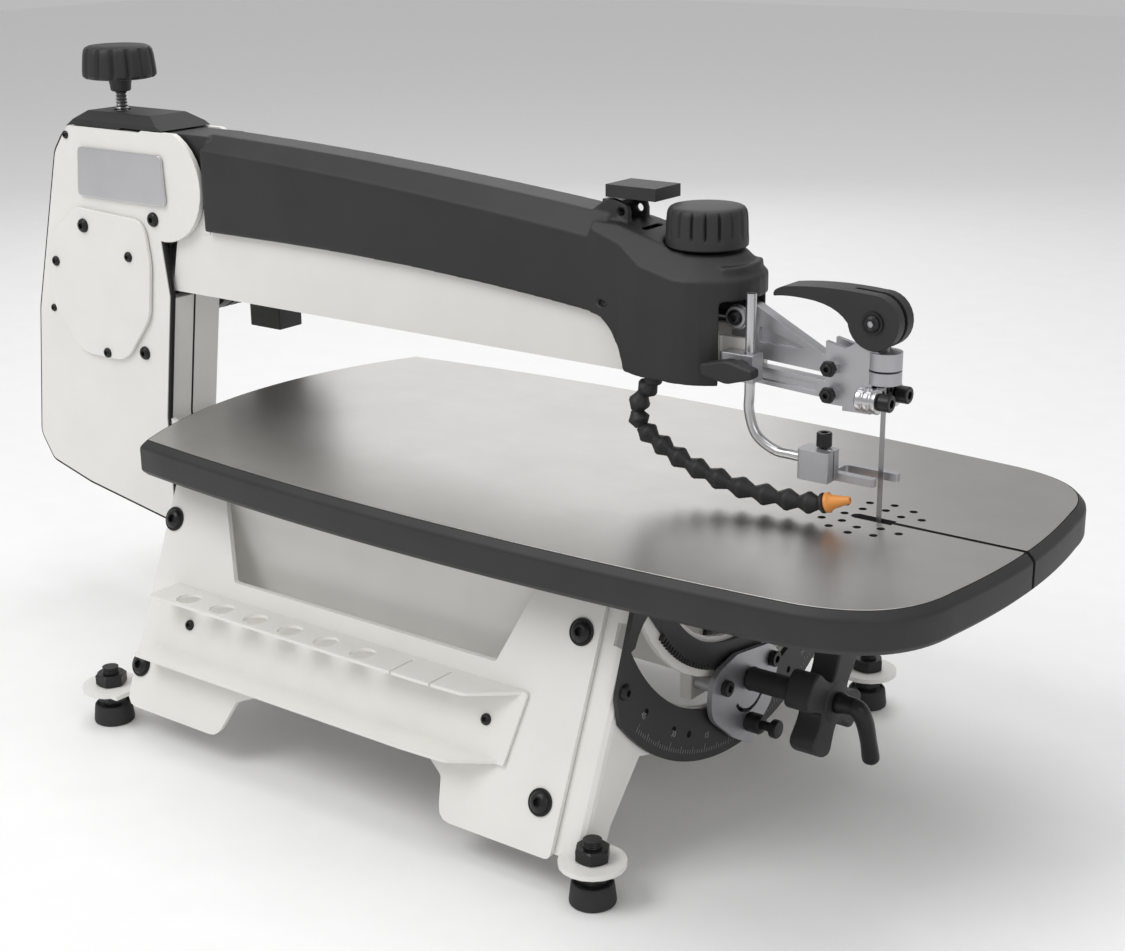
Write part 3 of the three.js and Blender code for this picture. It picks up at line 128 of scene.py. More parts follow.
def surface(name, color, roughness, metallic, tint, grain, strength, depth, stretch=(1, 1, 1), coat=0.0):
    """A finish whose colour and gloss wander slowly, over a fine grain of its own scale."""
    material = new_material(name, color, sum(roughness) / 2, metallic)
    slow = noise_node(material, 28, 4)
    fine = noise_node(material, grain, 3, stretch)
    tinted(material, slow, color, tint)
    roughened(material, fine, *roughness)
    bumped(material, fine, strength, depth)
    if coat:
        shader = material.node_tree.nodes["Principled BSDF"]
        shader.inputs["Coat Weight"].default_value = coat
        shader.inputs["Coat Roughness"].default_value = 0.25
    return material


FINISHES = {
    "white_paint": surface("powder_coat_white", (0.80, 0.79, 0.755), (0.36, 0.5), 0.0, 0.02, 900, 0.12,
                           0.0003, coat=0.1),
    "black_moulding": surface("moulding_black", (0.017, 0.017, 0.0175), (0.45, 0.62), 0.0, 0.15, 2200,
                              0.25, 0.0002),
    "black_paint": surface("paint_black", (0.013, 0.013, 0.0135), (0.38, 0.52), 0.0, 0.12, 1200, 0.12,
                           0.0002),
    "table_steel": surface("ground_steel", (0.47, 0.46, 0.445), (0.3, 0.38), 1.0, 0.04, 700, 0.03, 0.0001,
                           (0.05, 1, 1)),
    "grey_casting": surface("cast_aluminium", (0.46, 0.46, 0.48), (0.34, 0.52), 0.8, 0.07, 1500, 0.3,
                            0.0002),
    "bright_steel": surface("polished_steel", (0.55, 0.55, 0.56), (0.24, 0.34), 1.0, 0.03, 1800, 0.02,
                            0.00005, (0.2, 1, 1)),
    "black_oxide": surface("black_oxide", (0.012, 0.012, 0.013), (0.3, 0.44), 0.3, 0.15, 1600, 0.15,
                           0.0001),
    "blade_steel": surface("satin_steel", (0.33, 0.33, 0.34), (0.25, 0.4), 1.0, 0.05, 1500, 0.1, 0.0001,
                           (1, 1, 0.1)),
    "foot_rubber": surface("rubber_black", (0.02, 0.02, 0.021), (0.6, 0.8), 0.0, 0.15, 1400, 0.3, 0.0002),
    "motor_housing": surface("motor_paint", (0.016, 0.016, 0.017), (0.4, 0.55), 0.2, 0.1, 1100, 0.2,
                             0.0003),
    "badge_metal": surface("badge_satin", (0.62, 0.62, 0.64), (0.25, 0.38), 0.9, 0.03, 1300, 0.08, 0.0001,
                           (0.05, 1, 1)),
    "orange_plastic": surface("nozzle_orange", (0.83, 0.33, 0.075), (0.3, 0.42), 0.0, 0.08, 1000, 0.1,
                              0.0002),
    "scale_mark": surface("scale_grey", (0.24, 0.24, 0.24), (0.4, 0.5), 0.0, 0.03, 1500, 0.05, 0.0001),
    # dark_gap is painted shade: a near-black finish laid on hole walls, seams and vent openings to stand
    # for the shade inside them
    "dark_gap": surface("painted_gap_shade", (0.006, 0.006, 0.006), (0.7, 0.85), 0.0, 0.1, 1500, 0.2, 0.0002),
}


# ---------------------------------------------------------------- mesh helpers
def new_object(name, vertices, faces):
    mesh = bpy.data.meshes.new(name)
    mesh.from_pydata([tuple(v) for v in vertices], [], faces)
    mesh.validate()
    obj = bpy.data.objects.new(name, mesh)
    bpy.context.scene.collection.objects.link(obj)
    mend(obj)
    return obj


def mend(obj):
    """Welds the mesh and turns its faces outwards."""
    work = bmesh.new()
    work.from_mesh(obj.data)
    bmesh.ops.remove_doubles(work, verts=work.verts, dist=1e-6)
    bmesh.ops.recalc_face_normals(work, faces=work.faces)
    work.to_mesh(obj.data)
    work.free()


def rounded(obj, width, angle=30, segments=2):
    """Rounds the edges by width in mm, and shades what is curved as curved."""
    for polygon in obj.data.polygons:
        polygon.use_smooth = True
    if not width:
        obj.data.set_sharp_from_angle(angle=math.radians(34))
    if width:
        bevel = obj.modifiers.new("edge", "BEVEL")
        bevel.width = width / 1000
        bevel.segments = segments
        bevel.limit_method = "ANGLE"
        bevel.angle_limit = math.radians(angle)
        bevel.miter_outer = "MITER_ARC"
    weighted = obj.modifiers.new("shade", "WEIGHTED_NORMAL")
    weighted.keep_sharp = True
    weighted.weight = 60
    return obj


def dress(obj, body, slot, finish=None):
    obj.data.materials.clear()
    obj.data.materials.append(FINISHES[finish or slot])
    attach(obj, body)
    return obj


def stand_for(obj, *nodes, finish=None):
    """obj takes the place of CAD nodes: their body, slot and finish."""
    dress(obj, BODY_OF[nodes[0]], SLOT_OF[nodes[0]], finish)
    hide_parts(*nodes)
    return obj


def carried(node, width, angle=30, segments=2):
    """The CAD node's own shape, welded, with rounded edges."""
    source = frame["nodes"][node]
    obj = bpy.data.objects.new(node + "_finished", source.data.copy())
    bpy.context.scene.collection.objects.link(obj)
    obj.matrix_world = source.matrix_world.copy()
    work = bmesh.new()
    work.from_mesh(obj.data)
    bmesh.ops.remove_doubles(work, verts=work.verts, dist=2e-6)
    bmesh.ops.dissolve_limit(work, angle_limit=FLAT_ANGLE, verts=work.verts, edges=work.edges)
    bmesh.ops.recalc_face_normals(work, faces=work.faces)
    work.to_mesh(obj.data)
    work.free()
    rounded(obj, width, angle, segments)
    return stand_for(obj, node)


def moulded(node, grain, passes):
    """The CAD node's own shape with every edge softened, as on a plastic moulding."""
    source = frame["nodes"][node]
    obj = bpy.data.objects.new(node + "_moulded", source.data.copy())
    bpy.context.scene.collection.objects.link(obj)
    obj.matrix_world = source.matrix_world.copy()
    work = bmesh.new()
    work.from_mesh(obj.data)
    bmesh.ops.remove_doubles(work, verts=work.verts, dist=1e-6)
    work.to_mesh(obj.data)
    work.free()
    remesh = obj.modifiers.new("voxels", "REMESH")
    remesh.mode = "VOXEL"
    remesh.voxel_size = grain / 1000
    remesh.use_smooth_shade = True
    smooth = obj.modifiers.new("soften", "SMOOTH")
    smooth.factor = 0.5
    smooth.iterations = passes
    return stand_for(obj, node)


def frame_along(origin, direction):
    """Matrix whose local Z runs along direction from origin, in the row frame."""
    along = Vector(direction).normalized()
    turn = along.to_track_quat("Z", "Y").to_matrix().to_4x4()
    return Matrix.Translation(mm(*origin)) @ turn


def turned(name, profile, origin, direction, sides=40, wave=None):
    """Profile of (radius, distance) in mm turned about a line. wave(angle, distance) scales the radius."""
    place = frame_along(origin, direction)
    rings, vertices, faces = [], [], []
    for radius, along in profile:
        if radius <= 0:
            rings.append([len(vertices)])
            vertices.append(place @ Vector((0, 0, along / 1000)))
            continue
        start = len(vertices)
        for i in range(sides):
            angle = TAU * i / sides
            reach = radius * (wave(angle, along) if wave else 1) / 1000
            vertices.append(place @ Vector((reach * math.cos(angle), reach * math.sin(angle),
                                            along / 1000)))
        rings.append(list(range(start, start + sides)))
    for low, high in zip(rings, rings[1:]):
        faces += bridge(low, high)
    for ring in (rings[0], rings[-1]):
        if len(ring) > 1:
            faces.append(ring)
    return new_object(name, vertices, faces)


def bridge(low, high):
    if len(low) == 1 and len(high) == 1:
        return []
    if len(low) == 1:
        return [(low[0], high[i], high[(i + 1) % len(high)]) for i in range(len(high))]
    if len(high) == 1:
        return [(low[i], low[(i + 1) % len(low)], high[0]) for i in range(len(low))]
    count = len(low)
    return [(low[i], low[(i + 1) % count], high[(i + 1) % count], high[i]) for i in range(count)]


def smooth_path(points, steps):
    """Catmull-Rom curve through the points."""
    padded = [2 * points[0] - points[1], *points, 2 * points[-1] - points[-2]]
    path = []
    for a, b, c, d in zip(padded, padded[1:], padded[2:], padded[3:]):
        for i in range(steps):
            t = i / steps
            path.append(0.5 * (2 * b + (c - a) * t + (2 * a - 5 * b + 4 * c - d) * t * t
                               + (3 * b - a - 3 * c + d) * t ** 3))
    path.append(points[-1])
    return path


def tube(name, points, radii, steps=8, sides=20):
    """Round bar along a smooth path; radii in mm, one to a point."""
    path = smooth_path([mm(*p) for p in points], steps)
    sizes = smooth_path([Vector((r, 0, 0)) for r in radii], steps)
    normal = (path[1] - path[0]).orthogonal().normalized()
    rings, vertices, faces = [], [], []
    for i, place in enumerate(path):
        along = (path[min(i + 1, len(path) - 1)] - path[max(i - 1, 0)]).normalized()
        normal = (normal - along * normal.dot(along)).normalized()
        side = along.cross(normal)
        start = len(vertices)
        for k in range(sides):
            angle = TAU * k / sides
            vertices.append(place + (normal * math.cos(angle) + side * math.sin(angle)) * sizes[i].x / 1000)
        rings.append(list(range(start, start + sides)))
    for low, high in zip(rings, rings[1:]):
        faces += bridge(low, high)
    faces += [rings[0], rings[-1]]
    return new_object(name, vertices, faces)


def plate(name, loops, thickness, edge, place):
    """Flat plate from closed loops of (u, v) in mm, holes included, with rounded edges. It spans
    local z from 0 to thickness, and place carries local metres into the row frame."""
    curve = bpy.data.curves.new(name, "CURVE")
    curve.dimensions = "2D"
    curve.fill_mode = "BOTH"
    curve.extrude = (thickness / 2 - edge) / 1000
    curve.bevel_depth = edge / 1000
    curve.bevel_resolution = 2
    curve.offset = -edge / 1000
    for loop in loops:
        spline = curve.splines.new("POLY")
        spline.points.add(len(loop) - 1)
        for point, (u, v) in zip(spline.points, loop):
            point.co = (u / 1000, v / 1000, 0, 1)
        spline.use_cyclic_u = True
    source = bpy.data.objects.new(name + "_outline", curve)
    bpy.context.scene.collection.objects.link(source)
    bpy.context.view_layer.update()
    mesh = bpy.data.meshes.new_from_object(source.evaluated_get(bpy.context.evaluated_depsgraph_get()))
    bpy.data.objects.remove(source)
    bpy.data.curves.remove(curve)
    mesh.transform(place @ Matrix.Translation((0, 0, thickness / 2000)))
    obj = bpy.data.objects.new(name, mesh)
    bpy.context.scene.collection.objects.link(obj)
    mend(obj)
    return rounded(obj, 0)


def facing_x(x):
    """Plate drawn in y and z, standing on the plane at x and thickening towards +X."""
    turn = Matrix(((0, 0, 1, 0), (1, 0, 0, 0), (0, 1, 0, 0), (0, 0, 0, 1)))
    return Matrix.Translation(mm(x, 0, 0)) @ turn


def facing_y(y):
    """Plate drawn in x and z, standing on the plane at y and thickening towards -Y."""
    turn = Matrix(((1, 0, 0, 0), (0, 0, -1, 0), (0, 1, 0, 0), (0, 0, 0, 1)))
    return Matrix.Translation(mm(0, y, 0)) @ turn


def facing_z(z):
    return Matrix.Translation(mm(0, 0, z))


def circle(u, v, radius, sides=24):
    return [(u + radius * math.cos(TAU * i / sides),
             v + radius * math.sin(TAU * i / sides)) for i in range(sides)]


def arc(u, v, radius, start, end, steps):
    return [(u + radius * math.cos(start + (end - start) * i / steps),
             v + radius * math.sin(start + (end - start) * i / steps)) for i in range(steps + 1)]


def quadratic(a, b, c, steps):
    a, b, c = Vector(a), Vector(b), Vector(c)
    return [tuple((1 - t) ** 2 * a + 2 * t * (1 - t) * b + t * t * c)
            for t in (i / steps for i in range(steps))]


def softened(corners, steps=6):
    """Closed outline through (u, v, radius) corners, rounded as on the CAD part."""
    points = []
    count = len(corners)
    for i, (u, v, radius) in enumerate(corners):
        here = Vector((u, v))
        inward = (Vector(corners[i - 1][:2]) - here).normalized()
        outward = (Vector(corners[(i + 1) % count][:2]) - here).normalized()
        if not radius:
            points.append((u, v))
            continue
        reach = radius / math.tan(inward.angle(outward) / 2)
        start, end = here + inward * reach, here + outward * reach
        points += quadratic(start, here, end, steps) + [tuple(end)]
    return points


def joined(name, objects):
    """One object out of several, their modifiers applied."""
    graph = bpy.context.evaluated_depsgraph_get()
    work = bmesh.new()
    for obj in objects:
        mesh = bpy.data.meshes.new_from_object(obj.evaluated_get(graph))
        mesh.transform(obj.matrix_world)
        work.from_mesh(mesh)
        bpy.data.meshes.remove(mesh)
        bpy.data.objects.remove(obj)
    mesh = bpy.data.meshes.new(name)
    work.to_mesh(mesh)
    work.free()
    obj = bpy.data.objects.new(name, mesh)
    bpy.context.scene.collection.objects.link(obj)
    return obj


def block(name, low, high, edge=0.6):
    """Box with rounded edges between two corners in mm."""
    outline = [(low[0], low[1]), (high[0], low[1]), (high[0], high[1]), (low[0], high[1])]
    return plate(name, [outline], high[2] - low[2], edge, facing_z(low[2]))


# ---------------------------------------------------------------- fasteners
def hexagon(radius, sides=24):
    """Points along a hexagon, as many as a circle of that many sides has."""
    points = []
    for i in range(sides):
        angle = TAU * i / sides
        reach = radius * math.cos(math.pi / 6) / math.cos((angle % (math.pi / 3)) - math.pi / 6)
        points.append((reach * math.cos(angle), reach * math.sin(angle)))
    return points


def screw_head(name, origin, direction, profile, key, depth, body, finish="black_oxide"):
    """Round head of a (radius, height) profile with a hexagonal socket of key mm across corners / 2."""
    place = frame_along(origin, direction)
    sides = 24
    rings, vertices, faces = [], [], []
    loops = [([(r * math.cos(TAU * i / sides), r * math.sin(TAU * i / sides)) for i in range(sides)], h)
             for r, h in profile]
    top = profile[-1][1]
    loops += [(hexagon(key), top), (hexagon(key), top - depth)]
    for points, height in loops:
        rings.append(list(range(len(vertices), len(vertices) + sides)))
        vertices += [place @ Vector((u / 1000, v / 1000, height / 1000)) for u, v in points]
    for low, high in zip(rings, rings[1:]):
        faces += bridge(low, high)
    faces += [rings[0], rings[-1]]
    return dress(rounded(new_object(name, vertices, faces), 0.15, 35), body, "black_oxide", finish)


def button_screw(name, origin, direction, radius, body, finish="black_oxide"):
    height = radius * 0.55
    dome = [(radius, -0.3), (radius, 0.15 * height), (radius * 0.94, 0.5 * height),
            (radius * 0.8, 0.8 * height), (radius * 0.56, height)]
    return screw_head(name, origin, direction, dome, radius * 0.42, height * 0.7, body, finish)


def cap_screw(name, origin, direction, radius, height, body, finish="black_oxide"):
    side = [(radius, 0), (radius, height - 0.5), (radius - 0.5, height)]
    return screw_head(name, origin, direction, side, radius * 0.52, height * 0.5, body, finish)


def hex_nut(name, origin, direction, radius, height, body, finish="black_oxide"):
    place = frame_along(origin, direction)
    sides = 24
    rings, vertices, faces = [], [], []
    inner = radius * 0.5
    ring_of = lambda r: [(r * math.cos(TAU * i / sides),
                          r * math.sin(TAU * i / sides)) for i in range(sides)]
    loops = [(ring_of(inner), 0), (ring_of(radius * 0.86), 0), (hexagon(radius), height * 0.12),
             (hexagon(radius), height * 0.88), (ring_of(radius * 0.86), height), (ring_of(inner), height)]
    for points, level in loops:
        rings.append(list(range(len(vertices), len(vertices) + sides)))
        vertices += [place @ Vector((u / 1000, v / 1000, level / 1000)) for u, v in points]
    for low, high in zip(rings, rings[1:] + rings[:1]):
        faces += bridge(low, high)
    return dress(rounded(new_object(name, vertices, faces), 0.12, 25), body, "black_oxide", finish)


def washer(name, origin, direction, radius, bore, thickness, body, finish="bright_steel"):
    place = frame_along(origin, direction)
    obj = plate(name, [circle(0, 0, radius, 32), circle(0, 0, bore, 32)], thickness, 0.15, place)
    return dress(obj, body, finish)


def threaded(name, profile_radius, start, end, pitch, origin, direction):
    """Threaded rod: rings of crest and root at each pitch."""
    turns = int((end - start) / pitch)
    profile = [(0, start)]
    for i in range(turns + 1):
        at = start + i * pitch
        profile += [(profile_radius - 0.32 * pitch, at), (profile_radius, at + pitch * 0.5)]
    profile.append((0, start + turns * pitch + pitch * 0.5))
    return rounded(turned(name, profile, origin, direction, 24), 0)


# ---------------------------------------------------------------- table
def table_edge(steps):
    """Right-hand half of the table's outline, from the rear to the front."""
    half = quadratic((-489, 0), (-489, 67.9), (-458.5, 131), steps)
    half += quadratic((-458.5, 131), (-232, 160), (22, 135.5), steps)
    half += quadratic((22, 135.5), (77, 128), (81.5, 75), steps)
    half += quadratic((81.5, 75), (87.7, 36), (87.7, 0), steps)
    return half + [(87.7, 0)]


def offset(points, distance):
    grown = []
    count = len(points)
    for i, point in enumerate(points):
        here = Vector(point)
        first = (here - Vector(points[i - 1])).normalized()
        second = (Vector(points[(i + 1) % count]) - here).normalized()
        normal = Vector((-(first.y + second.y), first.x + second.x)).normalized()
        reach = distance / max(normal.dot(Vector((-first.y, first.x))), 0.5)
        grown.append(tuple(here + normal * reach))
    return grown


def table_outline(steps=20):
    right = table_edge(steps)
    return right + [(x, -y) for x, y in reversed(right[1:-1])]


def make_table():
    slot = [(110, -1.6), (9.3, -1.6), (9.3, -3.7), (-13, -3.7)]
    slot += arc(-13, 0, 3.7, -math.pi / 2, -math.pi * 1.5, 10)[1:-1]
    slot += [(-13, 3.7), (9.3, 3.7), (9.3, 1.6), (110, 1.6)]
    outline = table_outline()
    front = max(range(len(outline)), key=lambda i: outline[i][0] - abs(outline[i][1]))
    right_side = [p for p in outline[:front] if p[1] > 1.7 or p[0] < 0]
    left_side = [p for p in outline[front + 1:] if p[1] < -1.7 or p[0] < 0]
    mouth = [(87.65, 1.6)] + [(x, y) for x, y in reversed(slot[1:-1])] + [(87.65, -1.6)]
    loops = [right_side + mouth + left_side]
    for radius, turns in ((17.1, (45, 90, 135, 180, 225, 270, 315)),
                          (27.7, (30, 60, 90, 120, 150, 210, 240, 270, 300, 330))):
        for turn in turns:
            angle = math.radians(turn)
            loops.append(circle(-4.4 + radius * math.cos(angle), radius * math.sin(angle), 2.25, 20))
    top = plate("table_plate", loops, 3.2, 0.3, facing_z(TABLE_Z - 3.2))
    stand_for(top, "table_top")
    # The hole and slot walls get the near-black dark_gap finish: painted shade inside the openings, not the
    # steel's own colour
    top.data.materials.append(FINISHES["dark_gap"])
    for face in top.data.polygons:
        centre = face.center - mm(0, 0, TABLE_Z)
        pierced = abs(centre.y) < 0.004 or (centre + Vector((0.0044, 0, 0))).xy.length < 0.0325
        if pierced and abs(face.normal.z) < 0.9:
            face.material_index = 1


def make_rim():
    outline = table_outline()
    front = max(range(len(outline)), key=lambda i: outline[i][0] - abs(outline[i][1]))
    run = outline[front + 1:] + outline[:front]
    run = [(87.7, -1.6)] + [p for p in run if abs(p[1]) > 1.7 or p[0] < 0] + [(87.7, 1.6)]
    section = [(0.35, TABLE_Z - 0.5), (0.9, TABLE_Z - 0.35), (3.6, TABLE_Z - 3.0), (4.7, TABLE_Z - 4.4),
               (5, TABLE_Z - 6),
               (5, 175.5), (4.4, 174.2), (1.5, 171.4), (-6, 171), (-6.6, 171.6), (-6.6, TABLE_Z - 4.5),
               (0.35, TABLE_Z - 4.5)]
    vertices, faces, rings = [], [], []
    levels = {reach: offset(run, reach) for reach, _ in section}
    for i in range(len(run)):
        rings.append(list(range(len(vertices), len(vertices) + len(section))))
        for reach, z in section:
            x, y = levels[reach][i]
            if i in (0, len(run) - 1):
                x, y = 87.7 + reach, run[i][1]
            vertices.append(mm(x, y, z))
    for low, high in zip(rings, rings[1:]):
        faces += bridge(low, high)
    faces += [rings[0], rings[-1]]
    parts = [rounded(new_object("rim_edge", vertices, faces), 0)]
    for x, reach in ((-104, 139), (-464, 123)):
        parts.append(block("rim_bar", (x, -reach, 184), (x + 11, reach, TABLE_Z - 4.4), 0.8))
        for y in (-102, 90):
            parts.append(block("rim_standoff", (x, y, 166.4), (x + 11, y + 12, 185), 0.8))
    stand_for(rounded(joined("table_edge_moulding", parts), 0), "table_rim")


# ---------------------------------------------------------------- stand
def splayed(x, z, side, proud=0.0):
    """Point on the outside of a side plate, and the direction that it faces."""
    y = SPLAY_Y + math.tan(SPLAY) * (SPLAY_Z - z)
    out = Vector((0, math.cos(SPLAY) * side, math.sin(SPLAY)))
    return (x, side * y + out.y * proud, z + out.z * proud), out


def make_stand():
    for node in ("side_plate_left", "side_plate_right", "support_panel_left", "support_panel_right"):
        carried(node, 0.7)
    for node in ("front_frame", "rear_frame"):
        carried(node, 0.6)
    carried("tool_tray", 0.5)
    for side, word in ((-1, "left"), (1, "right")):
        for i, (x, z) in enumerate([(-454, 137.8), (-120, 138.5), (-454.5, 46.7), (-122, 48)]):
            origin, out = splayed(x, z, side)
            button_screw(f"stand_bolt_{word}_{i}", origin, out, 6.6, "stand")
            washer(f"stand_washer_{word}_{i}", origin, out, 8.0, 5, 1.0, "stand", "black_oxide")
        for i, (x, z) in enumerate([(-416.5, 79.1), (-169.3, 80.5)]):
            origin, out = splayed(x, z, side, 2.5 if side < 0 else 0)
            button_screw(f"tray_screw_{word}_{i}", origin, out, 3.5, "stand")


def make_feet():
    pad = [(0, 0), (12.4, 0), (13.2, 0.7), (13.4, 2), (12.6, 9), (12.2, 12), (11.6, 12.9), (10.6, 13),
           (10.2, 11.4), (6, 11.2),
           (6, 13.6), (0, 13.6)]
    for word, x, y in FOOT_PLACES:
        node = "levelling_foot_" + word
        rubber = rounded(turned(node + "_pad", pad, (x, y, 0), (0, 0, 1), 48), 0)
        stand_for(rubber, node)
        stud = threaded(node + "_stud", 5.4, 13, 38.5, 1.25, (x, y, 0), (0, 0, 1))
        dress(stud, BODY_OF[node], "black_oxide")
        hex_nut(node + "_nut", (x, y, LUG_TOP + 0.1), (0, 0, 1), 10.4, 8, "stand")
        hex_nut(node + "_jam_nut", (x, y, 14), (0, 0, 1), 9.4, 5.2, BODY_OF[node])


def rack_points():
    pitch = TAU / 190
    points = []
    for tooth in range(-28, 29):
        for turn, height in ((-0.33, -2.2), (-0.24, -0.6), (-0.13, 1.0), (0.13, 1.0), (0.24, -0.6),
                             (0.33, -2.2)):
            angle = -math.pi / 2 + (tooth + turn + 0.5) * pitch
            radius = 106.2 + height
            points.append((radius * math.cos(angle), TABLE_Z + radius * math.sin(angle)))
    return points


def make_trunnion():
    corner = math.asin(126 / 162.3)
    bottom = arc(0, TABLE_Z, 162.3, -math.pi / 2 + corner, -math.pi / 2 - corner, 72)
    side = [(106, 165.7), (109.5, 165), (111.5, 162), (128.6, 113), (129.3, 108.5)]
    opening = arc(0, TABLE_Z, 91, math.radians(-19), math.radians(-161), 60)
    outer = side + bottom + [(-y, z) for y, z in reversed(side)] + list(reversed(opening))
    limit = math.radians(62)
    slot = arc(0, TABLE_Z, 131.2, -math.pi / 2 + limit, -math.pi / 2 - limit, 60)
    slot += [(-112, 134.5), (-108.6, 141), (-104, 146.4), (-99.5, 149.5), (-97, 149.6)]
    slot += rack_points() + [(97, 149.6), (99.5, 149.5), (104, 146.4), (108.6, 141), (112, 134.5)]
    holes = [circle(y * side_, z, 2.2, 16) for side_ in (-1, 1) for y, z in ((101, 92), (73, 70), (57, 61))]
    stand_for(plate("trunnion_sector", [outer, slot, *holes], 3.2, 0.3, facing_x(-90.7)), "trunnion_plate")
    for side_ in (-1, 1):
        button_screw(f"trunnion_screw_{'left' if side_ < 0 else 'right'}", (-87.5, 122 * side_, 112),
                     (1, 0, 0), 4.8, "stand")
        button_screw(f"trunnion_top_screw_{'left' if side_ < 0 else 'right'}", (-87.5, 104 * side_, 158),
                     (1, 0, 0), 3.6, "stand")
    marks = []
    for degree in range(-45, 46, 1):
        length = 5.4 if degree % 15 == 0 else 4 if degree % 5 == 0 else 2.4
        angle = -math.pi / 2 + math.radians(degree)
        across = Vector((-math.sin(angle), math.cos(angle))) * 0.16
        inner = Vector((math.cos(angle), math.sin(angle))) * (157.5 - length)
        outer_end = Vector((math.cos(angle), math.sin(angle))) * 157.5
        corners = [inner - across, outer_end - across, outer_end + across, inner + across]
        marks.append(plate("tick", [[(p.x, p.y + TABLE_Z) for p in corners]], 0.24, 0.02, facing_x(-87.6)))
    dress(joined("tilt_scale_ticks", marks), "stand", "black_paint", "scale_mark")
    for degree in (-45, -30, -15, 0, 15, 30, 45):
        angle = -math.pi / 2 + math.radians(degree)
        text = bpy.data.curves.new(f"scale_number_{degree + 45}", "FONT")
        text.body = str(abs(degree))
        text.size = 0.0052
        text.extrude = 0.0001
        text.align_x = "CENTER"
        text.align_y = "CENTER"
        source = bpy.data.objects.new(f"scale_text_{degree + 45}", text)
        bpy.context.scene.collection.objects.link(source)
        spin = Matrix.Rotation(math.radians(degree), 4, "Z")
        centre = Matrix.Translation((147.2 * math.cos(angle) / 1000,
                                     (TABLE_Z + 147.2 * math.sin(angle)) / 1000, 0))
        source.matrix_world = facing_x(-87.45) @ centre @ spin
        bpy.context.view_layer.update()
        dress(joined(f"scale_number_{degree + 45}", [source]), "stand", "black_paint", "scale_mark")


# ---------------------------------------------------------------- rear column
CASE = [(-648, 372, 10), (-664, 352, 20), (-698, 232, 40), (-712, 131, 12), (-700, 112, 8), (-658, 101, 20),
        (-575, 88, 0), (-564, 87, 0), (-564, 167, 0), (-551, 258, 0)]


def make_column():
    for node in ("column_case_left", "column_case_right"):
        carried(node, 0.6)
    carried("column_cover_plate", 1.1, segments=3)
    carried("gear_cover", 1.0, segments=3)
    carried("badge_plate", 0.7, segments=3)
    carried("column_cap", 1.6, 20, 3)
    carried("lower_arm", 0.8)
    carried("rear_guide_shoe", 0.4)
    carried("power_inlet", 0.8)
    outer = [tuple(p) for p in softened(CASE)]
    spine = [p for p in outer] + [(-592, 258), (-592, 372)]
    hollow = softened([(-645, 369, 8), (-660, 350, 18), (-695, 232, 38), (-709, 132, 9), (-698, 115, 7),
                       (-658, 104, 18),
                       (-575, 91, 0), (-567, 90, 0), (-567, 168, 0), (-555, 256, 0), (-595, 256, 0),
                       (-595, 369, 0)])
    # Near-black sheet in the seam between the case halves: painted shade in the gap
    seam = plate("column_seam_shade", [spine, hollow], 1.5, 0.2, facing_y(0.75))
    dress(seam, "saw_frame", "black_moulding", "dark_gap")
    screws = [(-650, 365, 2.9), (-682, 233.5, 2.9), (-635, 301, 5.2), (-562, 312, 5.2), (-582, 212.5, 5)]
    for i, (x, z, radius) in enumerate(screws):
        face = -27.3 if x == -635 else -24
        button_screw(f"cover_screw_{i}", (x, face, z), (0, -1, 0), radius, "saw_frame")
    for i, (x, z) in enumerate([(-670, 271), (-588, 283), (-620, 208)]):
        button_screw(f"gear_cover_screw_{i}", (x, -27.3, z), (0, -1, 0), 3.8, "saw_frame")
    # Near-black sheet just inside the case edge, behind the cover: painted shade in the gap between them
    edge = offset(outer + [(-556, 297), (-556, 372)], -2)
    dress(plate("column_edge_shade", [edge], 3, 0.2, facing_y(-20.2)), "saw_frame", "black_moulding",
          "dark_gap")


def fluted(count, depth, low, high, sharp=6):
    """Radius factor of a knob whose side has count grooves between two heights."""
    def wave(angle, along):
        fade = min(1, max(0, (along - low) / 1.2)) * min(1, max(0, (high - along) / 2.2))
        return 1 - depth * fade * (0.5 + 0.5 * math.cos(count * angle)) ** sharp
    return wave


def make_knobs():
    dial = [(0, 0), (22.9, 0), (23.8, 0.8), (23.9, 3), (23.8, 5), (23.7, 6.4), (23.6, 8), (23.5, 12),
            (23.3, 16), (23.0, 19),
            (22.5, 20.6), (21.6, 21.9), (20.3, 22.6), (18, 22.9), (11, 23.15), (0, 23.2)]
    top = turned("speed_dial_grip", dial, (-116, 0, 338.2), (0, 0, 1), 192,
                 fluted(18, 0.075, 5.6, 21.8, 14))
    spindle = turned("speed_dial_spindle", [(0, -16), (6, -16), (6, 0.2), (0, 0.2)], (-116, 0, 338.2),
                     (0, 0, 1), 32)
    stand_for(rounded(joined("speed_dial_knob", [top, spindle]), 0), "speed_dial")
    grip = [(0, 0), (21, 0), (24.6, 0.8), (26.1, 2.4), (26.2, 4.5), (25.9, 8), (25.4, 13), (24.9, 17),
            (24.2, 20), (22.8, 21.9),
            (20.4, 23), (17, 23.4), (9, 23.4), (0, 23.4)]
    head = turned("rear_knob_grip", grip, (-614, 0, 405), (0, 0, 1), 168, fluted(14, 0.075, 0.6, 21.8, 5))
    neck = turned("rear_knob_neck", [(0, 0), (6.2, 0), (7.2, 0.8), (7.6, 5), (8.6, 9), (11, 9.6),
                                     (0, 9.6)], (-614, 0, 396),
                  (0, 0, 1), 40)
    stand_for(rounded(joined("rear_knob_body", [head, neck]), 0), "rear_tension_knob")
    rod = threaded("rear_knob_screw", 4.4, 0, 66.5, 2.2, (-614, 0, 330), (0, 0, 1))
    dress(rod, "rear_knob", "bright_steel")


